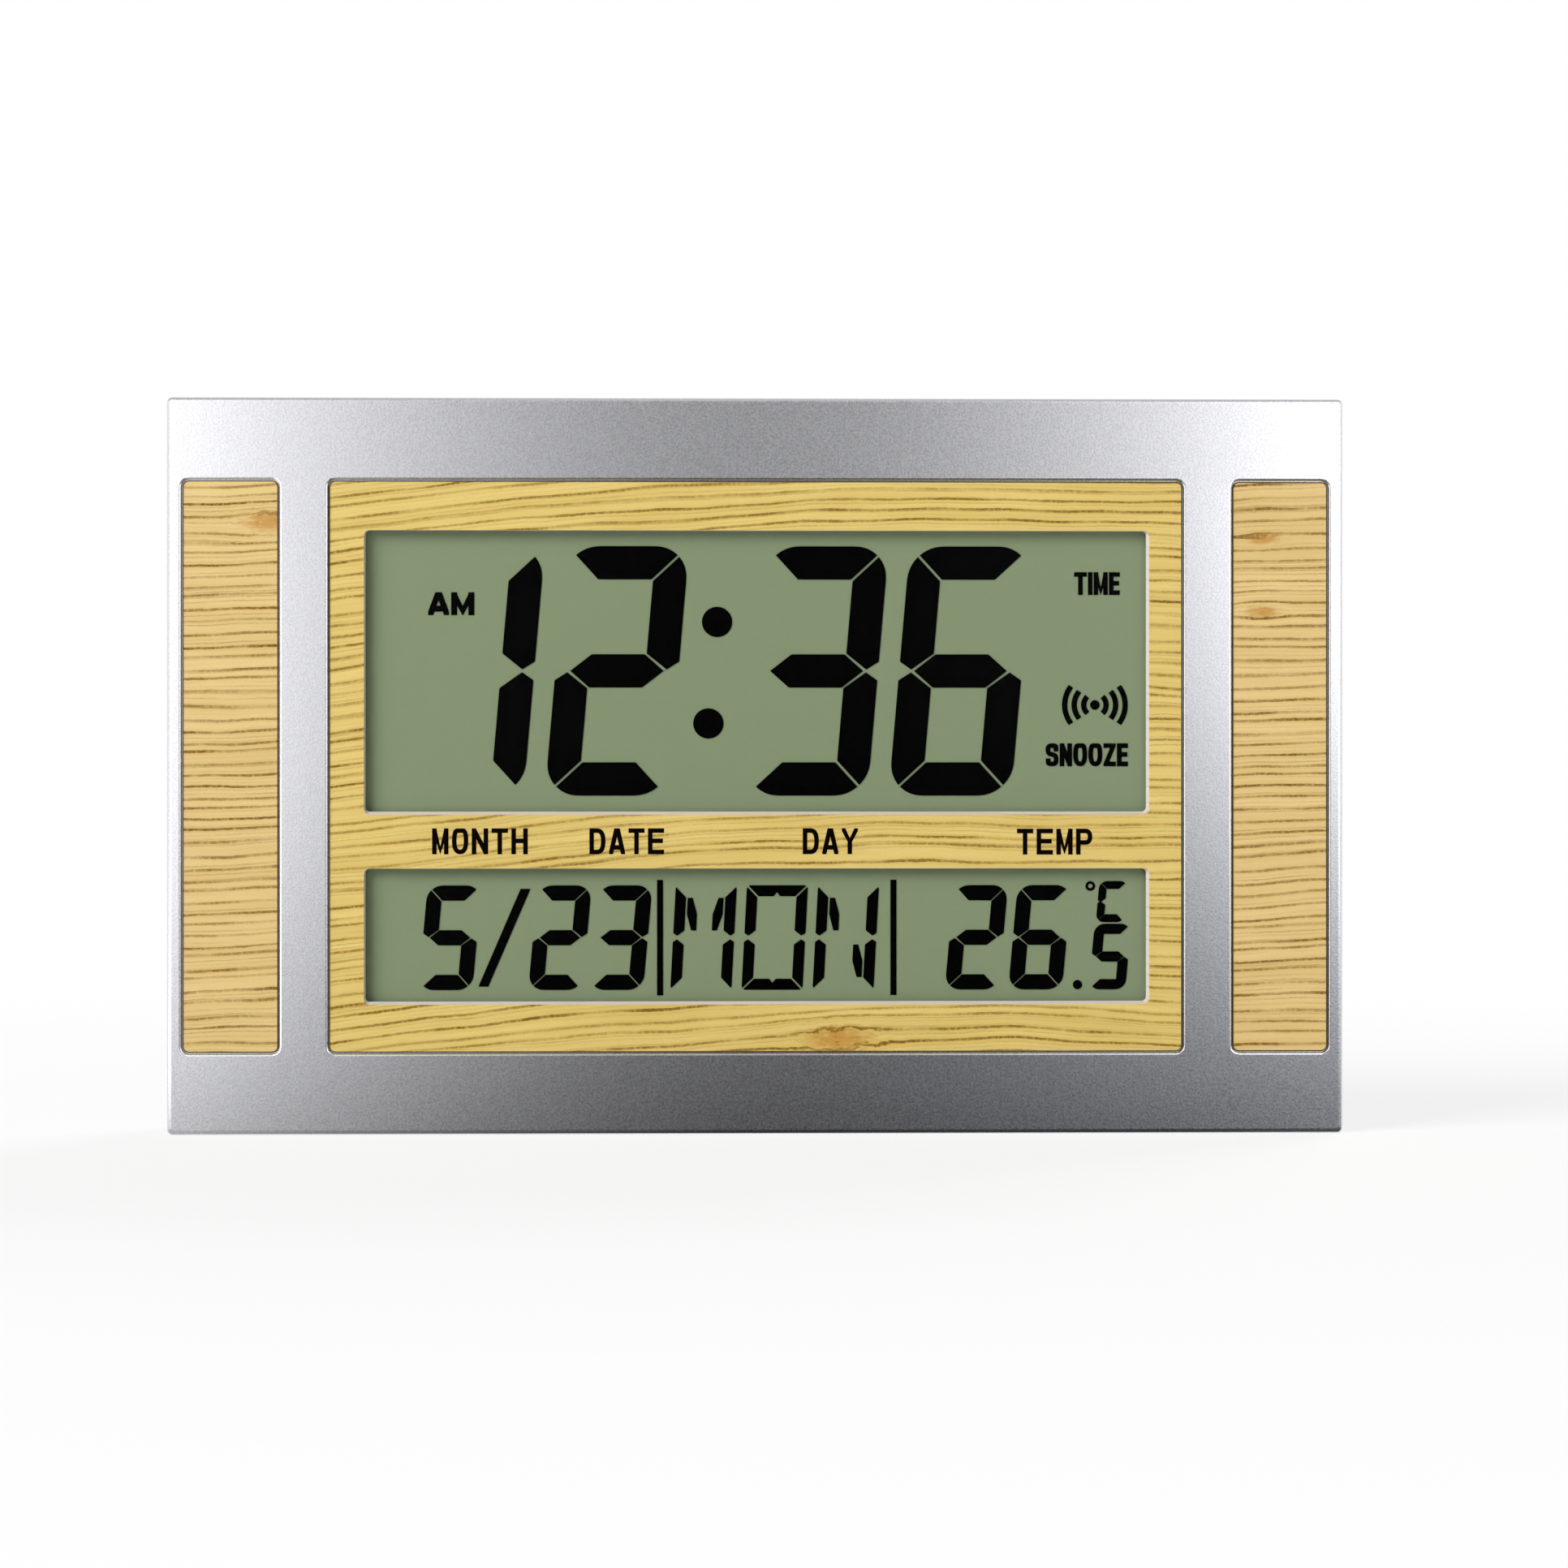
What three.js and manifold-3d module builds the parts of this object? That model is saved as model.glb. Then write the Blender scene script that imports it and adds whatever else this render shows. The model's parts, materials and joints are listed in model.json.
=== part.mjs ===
// A wide digital clock for a table or a wall, in millimetres: X to the right, Y to the back, Z up.
// The origin is the middle of the base. Depths are counted backwards from the front face.

import * as THREE from 'three';
import { mergeVertices } from 'three/addons/utils/BufferGeometryUtils.js';
import Module from 'manifold-3d';

const wasm = await Module();
wasm.setup();

// Front frame
const CLOCK_WIDTH = 259;
const CLOCK_HEIGHT = 162;
const FRAME_DEPTH = 11;
const FRAME_WALL = 2.4;
const FACE_WALL = 3.0;
const FRAME_CORNER = 1.1;
const FRAME_EDGE = 1.1;

// Wood panels, sunk into pockets of the frame
const PANEL_BASE_MARGIN = 17.8;
const PANEL_TOP_MARGIN = 18.0;
const SIDE_PANEL_MARGIN = 3.2;
const SIDE_PANEL_WIDTH = 21.5;
const PANEL_BAR = 10.6;
const PANEL_THICKNESS = 1.0;
const PANEL_SINK = 0.6;
const PANEL_CORNER = 1.6;
const POCKET_LIP = 0.5;
const PANEL_GAP = 0.25;

// Windows in the centre panel and the clear plates behind them
const WINDOW_SIDE_MARGIN = 8.2;
const WINDOW_TOP_MARGIN = 11.2;
const WINDOW_BASE_MARGIN = 11.4;
const WINDOW_SPACING = 12.6;
const CALENDAR_WINDOW_HEIGHT = 29.2;
const WINDOW_CORNER = 0.9;
const WINDOW_BEVEL_DEPTH = 0.8;
const WINDOW_BEVEL_LIMIT = 0.9;
const WINDOW_BEVEL_LEFT = 0.3;
const WINDOW_BEVEL_RIGHT = 0.65;
const WINDOW_BEVEL_TOP = 0.1;
const WINDOW_BEVEL_BASE = 0.65;
const LENS_THICKNESS = 1.0;
const LENS_LEDGE = 1.6;
const LENS_GAP = 0.25;

// Display glasses
const GLASS_THICKNESS = 1.1;
const GLASS_BORDER = 4.0;
const CONTACT_LEDGE = 3.4;
const GLASS_GAP = 0.3;
const SEGMENT_RELIEF = 0.12;

// Shape of a segment's ends, as shares of its stroke
const SEGMENT_INNER_END = 0.52;
const SEGMENT_OUTER_END = 0.28;
const SEGMENT_TIP_ACROSS = 0.64;
const SEGMENT_TIP_END = 0.04;
const MIDDLE_TIP = 0.58;

// Large figures of the time
const TIME_DIGIT_MARGIN = 3.38;
const TIME_ROW_RISE = 0.12;
const TIME_DIGIT_WIDTH = 27.14;
const TIME_DIGIT_PITCH = 31.8;
const TIME_STROKE = 7.35;
const TIME_SEGMENT_GAP = 0.5;
const TIME_SLANT = 0.086;
const HOUR_CENTRE = -46.68;
const MINUTE_CENTRE = 29.2;
const COLON_CENTRE = -9.66;
const COLON_DROP = 0.39;
const COLON_SPREAD = 11.2;
const COLON_RADIUS = 3.36;

// Small figures of the date and the temperature, placed from the window's two ends
const SMALL_DIGIT_MARGIN = 3.07;
const SMALL_ROW_DROP = 0.62;
const SMALL_DIGIT_WIDTH = 11.92;
const SMALL_DIGIT_PITCH = 13.4;
const DEGREES_PITCH = 14.05;
const SMALL_STROKE = 3.36;
const SMALL_SEGMENT_GAP = 0.22;
const SMALL_SLANT = 0.09;
const MONTH_FROM_LEFT = 18.45;
const DATE_FROM_LEFT = 42.66;
const SLASH_FROM_LEFT = 30.43;
const SLASH_LEAN = 4.65;
const SLASH_HALF_WIDTH = 1.09;
const SLASH_TRIM = 0.75;
const DIVIDER_FROM_LEFT = 64.72;
const DIVIDER_FROM_RIGHT = 55.74;
const DIVIDER_WIDTH = 1.33;
const DIVIDER_OVERRUN = 1.2;
const DEGREES_FROM_RIGHT = 37.39;
const POINT_FROM_RIGHT = 15.0;
const POINT_RADIUS = 1.05;
const RING_RADIUS = 1.1;
const RING_BORE = 0.5;
const RING_SPACING = 1.63;
const TENTHS_FROM_RIGHT = 7.8;
const TENTHS_HEIGHT = 14.5;
const TENTHS_WIDTH = 8.1;
const TENTHS_STROKE = 2.27;
const UNIT_SHIFT = 0.42;
const UNIT_HEIGHT = 9.1;
const UNIT_WIDTH = 6.3;
const UNIT_STROKE = 1.75;
const UNIT_SPACING = 0.35;
const UNIT_OVERLAP = 0.2;
const UNIT_SEGMENT_GAP = 0.06;

// Letters of the weekday
const LETTER_WIDTH = 13.48;
const LETTER_PITCH = 15.7;
const LETTER_CENTRE = 4.03;
const LETTER_STROKE = 2.42;
const LETTER_CORNER = 0.95;
const LETTER_SEGMENT_GAP = 0.35;
const LETTER_SLANT = 0.053;
const LETTER_WAIST = 0.3;
const DIAGONAL_WIDTH = 2.25;
const DIAGONAL_TIP = 1.12;
const NOTCH_WIDTH = 1.45;
const NOTCH_DEPTH = 0.85;

// Display holder, rubber connectors and main board
const HOLDER_WALL = 2.0;
const HOLDER_PLATE = 2.0;
const HOLDER_EAR_RADIUS = 4.0;
const HOLDER_POST_RADIUS = 3.0;
const HOLDER_POST_INSET = 18;
const CONNECTOR_END = 10;
const CONNECTOR_GAP = 0.3;
const CONNECTOR_INSET = 0.45;
const BOARD_STANDOFF = 1.2;
const BOARD_THICKNESS = 1.6;
const BOARD_INSET = 6;
const BOARD_HEIGHT = 50;
const BOARD_SCREW_INSET = 6;
const STANDOFF_RADIUS = 2.8;
const CHIP_RADIUS = 7;
const CHIP_HEIGHT = 1.6;
const CRYSTAL_RADIUS = 1.1;
const CRYSTAL_LENGTH = 6;
const CAPACITOR_RADIUS = 2.5;
const CAPACITOR_HEIGHT = 7;
const SENSOR_HEIGHT = 5;
const SENSOR_BEAD = 1.3;

// Back cover
const BACK_STEP = 1.0;
const BACK_TAPER = 1.0;
const BACK_ROUND = 5.0;
const BASE_ROUND = 1.2;
const BACK_CORNER = 4.0;
const BACK_WALL = 2.0;
const INNER_WALL = 1.4;
const CASE_POST_INSET = 13.5;
const CASE_POST_LOW = 11;
const CASE_POST_TOP_INSET = 15;
const CASE_POST_MIDDLE = 56;
const CASE_POST_RADIUS = 3.8;
const CASE_BOSS_RADIUS = 4.8;
const CASE_BOSS_LENGTH = 3.4;
const SCREW_SINK = 2.8;

// Fasteners
const CASE_SCREW_RADIUS = 1.3;
const CASE_SCREW_LENGTH = 13;
const CASE_HEAD_RADIUS = 2.9;
const CASE_HEAD_HEIGHT = 2.2;
const SMALL_SCREW_RADIUS = 0.95;
const SMALL_HEAD_RADIUS = 2.1;
const SMALL_HEAD_HEIGHT = 1.4;
const HOLDER_SCREW_LENGTH = 4.4;
const BOARD_SCREW_LENGTH = 3.8;
const HEAD_SIDE = 0.6;
const HEAD_CROWN = 0.8;
const SCREW_GAP = 0.3;

// Fold-out stand
const STAND_WIDTH = 78;
const STAND_HINGE_HEIGHT = 82;
const STAND_FOOT_HEIGHT = 4;
const STAND_THICKNESS = 4.2;
const STAND_SINK = 0.4;
const STAND_SKIN = 1.6;
const STAND_RIM = 2.2;
const STAND_BAYS = 3;
const STAND_CORNER = 6;
const STAND_GAP = 0.5;
const RECESS_WALL = 1.8;
const HINGE_RADIUS = 2.4;
const HINGE_PIN_RADIUS = 1.5;
const HINGE_PIN_LENGTH = 2.2;
const HINGE_PIN_GAP = 0.2;
const NOTCH_SPAN = 20;
const NOTCH_RISE = 6.5;

// Battery box, cells and door
const CELL_DIAMETER = 14.5;
const CELL_LENGTH = 49.2;
const CELL_EDGE = 0.5;
const CELL_SHOULDER = 0.8;
const NUB_RADIUS = 2.75;
const NUB_LENGTH = 1.3;
const CELL_FLOOR_GAP = 0.4;
const CELL_DOOR_GAP = 0.5;
const CELL_SIDE_GAP = 0.5;
const CELL_SPACING = 1.0;
const CONTACT_THICKNESS = 0.6;
const CONTACT_WIDTH = 11;
const CONTACT_TAB = 3;
const CONTACT_TAB_LENGTH = 4;
const SPRING_ROOM = 4.6;
const SPRING_TURNS = 2;
const SPRING_WIRE_RADIUS = 0.4;
const SPRING_WIDE_RADIUS = 5.0;
const SPRING_NARROW_RADIUS = 3.4;
const SPRING_END_GAP = 0.3;
const BATTERY_SIDE_MARGIN = 21.35;
const BATTERY_RISE = 4.4;
const BATTERY_CLEARANCE = 2.2;
const DOOR_LEDGE = 1.5;
const DOOR_THICKNESS = 1.7;
const DOOR_SINK = 0.1;
const DOOR_GAP = 0.3;
const DOOR_CORNER = 1.5;
const HOOK_WIDTH = 8;
const HOOK_SPACING = 38;
const HOOK_REACH = 1.0;
const HOOK_THICKNESS = 1.2;
const HOOK_NECK = 1.4;
const HOOK_GAP = 0.5;
const LATCH_WIDTH = 14;
const LATCH_DEPTH = 1.6;

// Buttons, their rubber mat and their board
const KEY_NAMES = ['mode', 'set', 'up', 'down', 'alarm', 'snooze'];
const KEY_SIDE_MARGIN = 9.5;
const KEY_PITCH = 11;
const KEY_RADIUS = 3.7;
const KEY_FLANGE_RADIUS = 4.7;
const KEY_FLANGE_THICKNESS = 1.4;
const KEY_PROUD = 0.8;
const KEY_EDGE = 0.5;
const KEY_CROWN = 0.1;
const KEY_TRAVEL = 1.0;
const KEY_GAP = 0.3;
const TROUGH_DEPTH = 1.5;
const TROUGH_MARGIN = 8.5;
const TROUGH_HEIGHT = 14;
const MAT_THICKNESS = 1.2;
const MAT_HEIGHT = 11;
const MAT_GAP = 0.5;
const DOME_HEIGHT = 1.4;
const DOME_RADIUS = 3.0;
const DOME_TOP_RADIUS = 2.1;
const KEY_BOARD_HEIGHT = 15;
const KEY_BOARD_END = 12.5;
const KEY_POST_INSET = 3.5;
const KEY_POST_RADIUS = 2.8;
const KEY_SCREW_LENGTH = 4.6;

// Buzzer and air slots in the back
const BUZZER_HEIGHT = 60;
const BUZZER_RADIUS = 13.5;
const BUZZER_PLATE = 0.5;
const CERAMIC_RADIUS = 9.5;
const CERAMIC_THICKNESS = 0.3;
const BUZZER_RING_WALL = 1.8;
const BUZZER_RING_HEIGHT = 1.4;
const SLOT_COUNT = 5;
const SLOT_WIDTH = 1.6;
const SLOT_PITCH = 3.4;
const SLOT_LENGTH = 16;
const SLOT_ROUNDING = 0.98;

// Keyhole for a wall screw
const KEYHOLE_DROP = 26;
const KEYHOLE_MOUTH_RADIUS = 4.2;
const KEYHOLE_SLOT_WIDTH = 4.4;
const KEYHOLE_RUN = 10;
const KEYHOLE_POCKET_DEPTH = 6;
const KEYHOLE_POCKET_MARGIN = 3;

// Wires
const LEAD_RADIUS = 0.7;
const LEAD_GAP = 0.3;
const LEAD_SPREAD = 4;
const LEAD_BEND = 3;
const LEAD_SAG = 1;
const BATTERY_LANDING_DROP = 9;
const BATTERY_LANDING_INSET = 20;
const BATTERY_LANDING_PITCH = 6;
const BUZZER_LANDING_INSET = 18;
const BUZZER_LANDING_RISE = 10;
const RIBBON_WIDTH = 14;
const RIBBON_OFFSET = 20;
const RIBBON_THICKNESS = 0.7;
const RIBBON_LANDING = 5;

// How finely round shapes are cut into flats
const QUARTER_TURN = 90;
const CORNER_STEPS = 3;
const EDGE_STEPS = 3;
const ROUND_SIDES = 16;
const SCREW_SIDES = 12;
const CELL_SIDES = 20;
const DOT_SIDES = 24;
const SEGMENT_CORNER_STEPS = 4;
const SPRING_STEPS_PER_TURN = 8;
const SPRING_SIDES = 5;
const LEAD_STEPS = 14;
const LEAD_SIDES = 6;
const RIBBON_STEPS = 8;
const MERGE_DISTANCE = 1e-4;
const CUT_OVERRUN = 1;
const JOIN_OVERLAP = 0.4;

// Places across the front
const halfWidth = CLOCK_WIDTH / 2;
const sideOuter = halfWidth - SIDE_PANEL_MARGIN;
const sideInner = sideOuter - SIDE_PANEL_WIDTH;
const centreHalf = sideInner - PANEL_BAR;
const windowHalf = centreHalf - WINDOW_SIDE_MARGIN;
const glassHalf = windowHalf + GLASS_BORDER;
const panelBase = PANEL_BASE_MARGIN;
const panelTop = CLOCK_HEIGHT - PANEL_TOP_MARGIN;
const calendarBase = panelBase + WINDOW_BASE_MARGIN;
const calendarTop = calendarBase + CALENDAR_WINDOW_HEIGHT;
const timeBase = calendarTop + WINDOW_SPACING;
const timeTop = panelTop - WINDOW_TOP_MARGIN;

// Depths of the layers, front to back
const pocketFloor = PANEL_SINK + PANEL_THICKNESS;
const glassFront = FACE_WALL;
const glassMiddle = glassFront + GLASS_THICKNESS;
const glassBack = glassMiddle + GLASS_THICKNESS;
const holderBack = glassBack + HOLDER_PLATE;
const boardFront = holderBack + BOARD_STANDOFF;
const boardBack = boardFront + BOARD_THICKNESS;
const boxFloorFront = holderBack + BATTERY_CLEARANCE;
const boxFloor = boxFloorFront + INNER_WALL;
const doorInner = boxFloor + CELL_FLOOR_GAP + CELL_DIAMETER + CELL_DOOR_GAP;
const doorOuter = doorInner + DOOR_THICKNESS;
const clockDepth = doorOuter + DOOR_SINK;
const backInner = clockDepth - BACK_WALL;

// Board, battery box and button row, one above the other
const boardCentre = (calendarTop + timeBase) / 2;
const boardTop = boardCentre + BOARD_HEIGHT / 2;
const boardBase = boardCentre - BOARD_HEIGHT / 2;
const boardHalf = glassHalf - BOARD_INSET;
const boxBase = boardTop + BATTERY_RISE + INNER_WALL;
const boxTop = boxBase + 2 * CELL_DIAMETER + CELL_SPACING + 2 * CELL_SIDE_GAP;
const boxLength = 2 * CONTACT_THICKNESS + SPRING_ROOM + CELL_LENGTH + NUB_LENGTH;
const boxRight = halfWidth - BATTERY_SIDE_MARGIN;
const boxLeft = boxRight - boxLength;
const batteryCentre = (boxLeft + boxRight) / 2;
const lowerCell = boxBase + CELL_SIDE_GAP + CELL_DIAMETER / 2;
const upperCell = lowerCell + CELL_DIAMETER + CELL_SPACING;
const cellDepth = boxFloor + CELL_FLOOR_GAP + CELL_DIAMETER / 2;
const keyRow = (boxBase + boxTop) / 2;

// A place at a depth behind the front face
const at = (x, depth, z) => new THREE.Vector3(x, depth - clockDepth / 2, z);

// Finishes
function finish(color, roughness, metalness = 0) {
  return new THREE.MeshStandardMaterial({ color, roughness, metalness });
}

const silverPaint = finish(0xb9babd, 0.35, 0.85);
const woodPrint = finish(0xdcbe76, 0.55);
const clearPlastic = finish(0xe8eee6, 0.08);
const displayGlass = finish(0x859372, 0.25);
const whitePlastic = finish(0xe9e9e4, 0.6);
const stripedRubber = finish(0x3a3a3c, 0.8);
const boardGreen = finish(0x2f6b3c, 0.5);
const blackResin = finish(0x141416, 0.4);
const tinPlate = finish(0xc4c6c8, 0.3, 1);
const brassPlate = finish(0xc9a24b, 0.35, 1);
const greyPlastic = finish(0x9a9c9f, 0.5);
const greyRubber = finish(0x6b6e72, 0.85);
const cellSleeve = finish(0x3d5a86, 0.4, 0.3);
const redSleeve = finish(0xb02a25, 0.6);
const blackSleeve = finish(0x1b1b1d, 0.6);

// A closed solid from a three.js geometry, with its faces pointing outwards
function solid(geometry) {
  geometry.deleteAttribute('normal');
  geometry.deleteAttribute('uv');
  const merged = mergeVertices(geometry, MERGE_DISTANCE);
  const positions = merged.attributes.position;
  const corners = merged.index.array;
  const kept = [];
  const [a, b, c] = [new THREE.Vector3(), new THREE.Vector3(), new THREE.Vector3()];
  let volume = 0;
  for (let i = 0; i < corners.length; i += 3) {
    const [p, q, r] = [corners[i], corners[i + 1], corners[i + 2]];
    if (p === q || q === r || r === p) continue;
    kept.push([p, q, r]);
    a.fromBufferAttribute(positions, p);
    b.fromBufferAttribute(positions, q);
    c.fromBufferAttribute(positions, r);
    volume += a.dot(b.cross(c));
  }
  const facing = volume < 0 ? kept.map(([p, q, r]) => [p, r, q]) : kept;
  const triVerts = new Uint32Array(facing.flat());
  return new wasm.Manifold(new wasm.Mesh({ numProp: 3, vertProperties: positions.array, triVerts }));
}

function geometryOf(body) {
  const mesh = body.getMesh();
  const geometry = new THREE.BufferGeometry();
  geometry.setAttribute('position', new THREE.BufferAttribute(mesh.vertProperties, 3));
  geometry.setIndex(new THREE.BufferAttribute(mesh.triVerts, 1));
  geometry.computeVertexNormals();
  return geometry;
}

const join = (first, ...others) => others.reduce((sum, other) => sum.add(other), first);
const cut = (base, ...tools) => tools.reduce((rest, tool) => rest.subtract(tool), base);

// Points of a rectangle with round corners, counter-clockwise as seen from the front
function roundedRect(left, right, base, top, radius) {
  const centres = [
    [right - radius, top - radius],
    [left + radius, top - radius],
    [left + radius, base + radius],
    [right - radius, base + radius],
  ];
  return centres.flatMap(([x, z], corner) => {
    const start = corner * QUARTER_TURN;
    return arc(x, z, radius, start, start + QUARTER_TURN, CORNER_STEPS);
  });
}

function arc(x, z, radius, fromDegrees, toDegrees, steps) {
  return Array.from({ length: steps + 1 }, (_, step) => {
    const angle = THREE.MathUtils.degToRad(fromDegrees + ((toDegrees - fromDegrees) * step) / steps);
    return new THREE.Vector2(x + radius * Math.cos(angle), z + radius * Math.sin(angle));
  });
}

function circle(radius, sides) {
  return arc(0, 0, radius, 0, 360, sides).slice(0, sides);
}

// A plate of one outline between two depths
function slab(outline, front, back) {
  const options = { depth: back - front, bevelEnabled: false };
  const geometry = new THREE.ExtrudeGeometry(new THREE.Shape(outline), options);
  geometry.rotateX(Math.PI / 2);
  geometry.translate(0, at(0, back, 0).y, 0);
  return solid(geometry);
}

const box = (left, right, front, back, base, top) => {
  const corners = [[left, base], [right, base], [right, top], [left, top]];
  return slab(corners.map(([x, z]) => new THREE.Vector2(x, z)), front, back);
};

// A body whose outline changes with depth; every outline has as many points as the next
function loft(sections) {
  const count = sections[0].outline.length;
  const positions = [];
  for (const { outline, depth } of sections) {
    for (const point of outline) positions.push(point.x, at(0, depth, 0).y, point.y);
  }
  const faces = THREE.ShapeUtils.triangulateShape(sections[0].outline, []);
  const last = (sections.length - 1) * count;
  const triangles = faces.flatMap(([p, q, r]) => [p, q, r, last + p, last + r, last + q]);
  for (let ring = 0; ring < last; ring += count) {
    for (let j = 0; j < count; j += 1) {
      const k = (j + 1) % count;
      triangles.push(ring + j, ring + count + k, ring + k, ring + j, ring + count + j, ring + count + k);
    }
  }
  const geometry = new THREE.BufferGeometry();
  geometry.setAttribute('position', new THREE.Float32BufferAttribute(positions, 3));
  geometry.setIndex(triangles);
  return solid(geometry);
}

// A body turned about a line from front to back; the profile holds [radius, depth] pairs
function turned(profile, sides) {
  const points = profile.map(([radius, depth]) => new THREE.Vector2(radius, depth));
  return new THREE.LatheGeometry(points, sides);
}

function peg(x, z, radius, front, back, sides = ROUND_SIDES) {
  const geometry = turned([[0, front], [radius, front], [radius, back], [0, back]], sides);
  return solid(geometry.translate(x, -clockDepth / 2, z));
}

// A round bar along X
function bar(left, right, depth, z, radius, sides = ROUND_SIDES) {
  const geometry = new THREE.CylinderGeometry(radius, radius, right - left, sides);
  geometry.rotateZ(Math.PI / 2);
  const middle = at((left + right) / 2, depth, z);
  return solid(geometry.translate(middle.x, middle.y, middle.z));
}

// A wire along a smooth path
function wire(curve, radius, steps, sides) {
  const section = new THREE.Shape(circle(radius, sides));
  return solid(new THREE.ExtrudeGeometry(section, { steps, extrudePath: curve, bevelEnabled: false }));
}

const clock = new THREE.Group();

function add(name, body, material, group = clock) {
  const mesh = new THREE.Mesh(geometryOf(body), material);
  mesh.name = name;
  group.add(mesh);
  return mesh;
}

const widen = (area, by) => ({
  left: area.left - by,
  right: area.right + by,
  base: area.base - by,
  top: area.top + by,
});
const outlineOf = (area, radius) => roundedRect(area.left, area.right, area.base, area.top, radius);

const pockets = {
  left: { left: -sideOuter, right: -sideInner, base: panelBase, top: panelTop },
  centre: { left: -centreHalf, right: centreHalf, base: panelBase, top: panelTop },
  right: { left: sideInner, right: sideOuter, base: panelBase, top: panelTop },
};
const windows = {
  time: { left: -windowHalf, right: windowHalf, base: timeBase, top: timeTop },
  calendar: { left: -windowHalf, right: windowHalf, base: calendarBase, top: calendarTop },
};
const glasses = {
  time: widen(windows.time, GLASS_BORDER),
  calendar: widen(windows.calendar, GLASS_BORDER),
};

// Screw places
const holderPostX = centreHalf + PANEL_BAR / 2;
const holderPosts = [-holderPostX, holderPostX].flatMap((x) => [
  [x, panelBase + HOLDER_POST_INSET],
  [x, panelTop - HOLDER_POST_INSET],
]);
const boardScrewX = boardHalf - BOARD_SCREW_INSET;
const boardScrews = [-boardScrewX, boardScrewX].flatMap((x) => [
  [x, boardBase + BOARD_SCREW_INSET],
  [x, boardTop - BOARD_SCREW_INSET],
]);
const casePostX = halfWidth - CASE_POST_INSET;
const casePosts = [-casePostX, casePostX].flatMap((x) => [
  [x, CASE_POST_LOW],
  [x, CLOCK_HEIGHT - CASE_POST_TOP_INSET],
]);
casePosts.push([-CASE_POST_MIDDLE, CASE_POST_LOW], [CASE_POST_MIDDLE, CASE_POST_LOW]);
const screwSeat = clockDepth - SCREW_SINK;
const casePostEnd = screwSeat - CASE_BOSS_LENGTH;

// The silver frame: a shallow tray with rounded front edges, three pockets and posts for the screws
function frontFrame() {
  const outer = { left: -halfWidth, right: halfWidth, base: 0, top: CLOCK_HEIGHT };
  const sections = [];
  for (let step = 0; step <= EDGE_STEPS; step += 1) {
    const angle = (step / EDGE_STEPS) * (Math.PI / 2);
    const inset = FRAME_EDGE * (1 - Math.sin(angle));
    const outline = outlineOf(widen(outer, -inset), FRAME_CORNER - inset / 2);
    sections.push({ outline, depth: FRAME_EDGE * (1 - Math.cos(angle)) });
  }
  sections.push({ outline: outlineOf(outer, FRAME_CORNER), depth: FRAME_DEPTH });
  const inner = outlineOf(widen(outer, -FRAME_WALL), FRAME_CORNER);
  const hollow = slab(inner, FACE_WALL, FRAME_DEPTH + CUT_OVERRUN);
  const openings = Object.values(windows).map((area) => {
    return slab(outlineOf(widen(area, LENS_LEDGE), WINDOW_CORNER), 0, FACE_WALL + CUT_OVERRUN);
  });
  const tray = cut(loft(sections), hollow, ...Object.values(pockets).map(panelPocket), ...openings);
  const postStart = FACE_WALL - JOIN_OVERLAP;
  const posts = [
    ...casePosts.map(([x, z]) => peg(x, z, CASE_POST_RADIUS, postStart, casePostEnd)),
    ...holderPosts.map(([x, z]) => peg(x, z, HOLDER_POST_RADIUS, postStart, glassBack)),
  ];
  const caseHole = CASE_SCREW_RADIUS + SCREW_GAP;
  const caseHoleFloor = screwSeat - CASE_SCREW_LENGTH - CUT_OVERRUN;
  const holderHole = SMALL_SCREW_RADIUS + SCREW_GAP;
  const holderHoleFloor = holderBack - HOLDER_SCREW_LENGTH - SCREW_GAP;
  const holes = [
    ...casePosts.map(([x, z]) => {
      return peg(x, z, caseHole, caseHoleFloor, casePostEnd + CUT_OVERRUN, SCREW_SIDES);
    }),
    ...holderPosts.map(([x, z]) => {
      return peg(x, z, holderHole, holderHoleFloor, glassBack + CUT_OVERRUN, SCREW_SIDES);
    }),
  ];
  return cut(join(tray, ...posts), ...holes);
}

// A pocket for a panel, with a rounded lip at the front
function panelPocket(area) {
  const mouth = outlineOf(widen(area, POCKET_LIP), PANEL_CORNER + POCKET_LIP);
  const sections = [{ outline: mouth, depth: -CUT_OVERRUN }];
  for (let step = 0; step <= EDGE_STEPS; step += 1) {
    const angle = (step / EDGE_STEPS) * (Math.PI / 2);
    const spread = POCKET_LIP * (1 - Math.sin(angle));
    const outline = outlineOf(widen(area, spread), PANEL_CORNER + spread);
    sections.push({ outline, depth: POCKET_LIP * (1 - Math.cos(angle)) });
  }
  sections.push({ outline: outlineOf(area, PANEL_CORNER), depth: pocketFloor });
  return loft(sections);
}

function panel(area) {
  return slab(outlineOf(widen(area, -PANEL_GAP), PANEL_CORNER - PANEL_GAP), PANEL_SINK, pocketFloor);
}

// A window cut with a bevel that narrows from the panel's face, broader on the right and below
function bevelledOpening(area) {
  const face = {
    left: area.left - WINDOW_BEVEL_LEFT,
    right: area.right + WINDOW_BEVEL_RIGHT,
    base: area.base - WINDOW_BEVEL_BASE,
    top: area.top + WINDOW_BEVEL_TOP,
  };
  const wide = outlineOf(face, WINDOW_CORNER + WINDOW_BEVEL_LEFT);
  const narrow = outlineOf(area, WINDOW_CORNER);
  const bevelDepth = Math.min(WINDOW_BEVEL_DEPTH, PANEL_THICKNESS * WINDOW_BEVEL_LIMIT);
  return loft([
    { outline: wide, depth: PANEL_SINK - CUT_OVERRUN },
    { outline: wide, depth: PANEL_SINK },
    { outline: narrow, depth: PANEL_SINK + bevelDepth },
    { outline: narrow, depth: pocketFloor + CUT_OVERRUN },
  ]);
}

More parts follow.
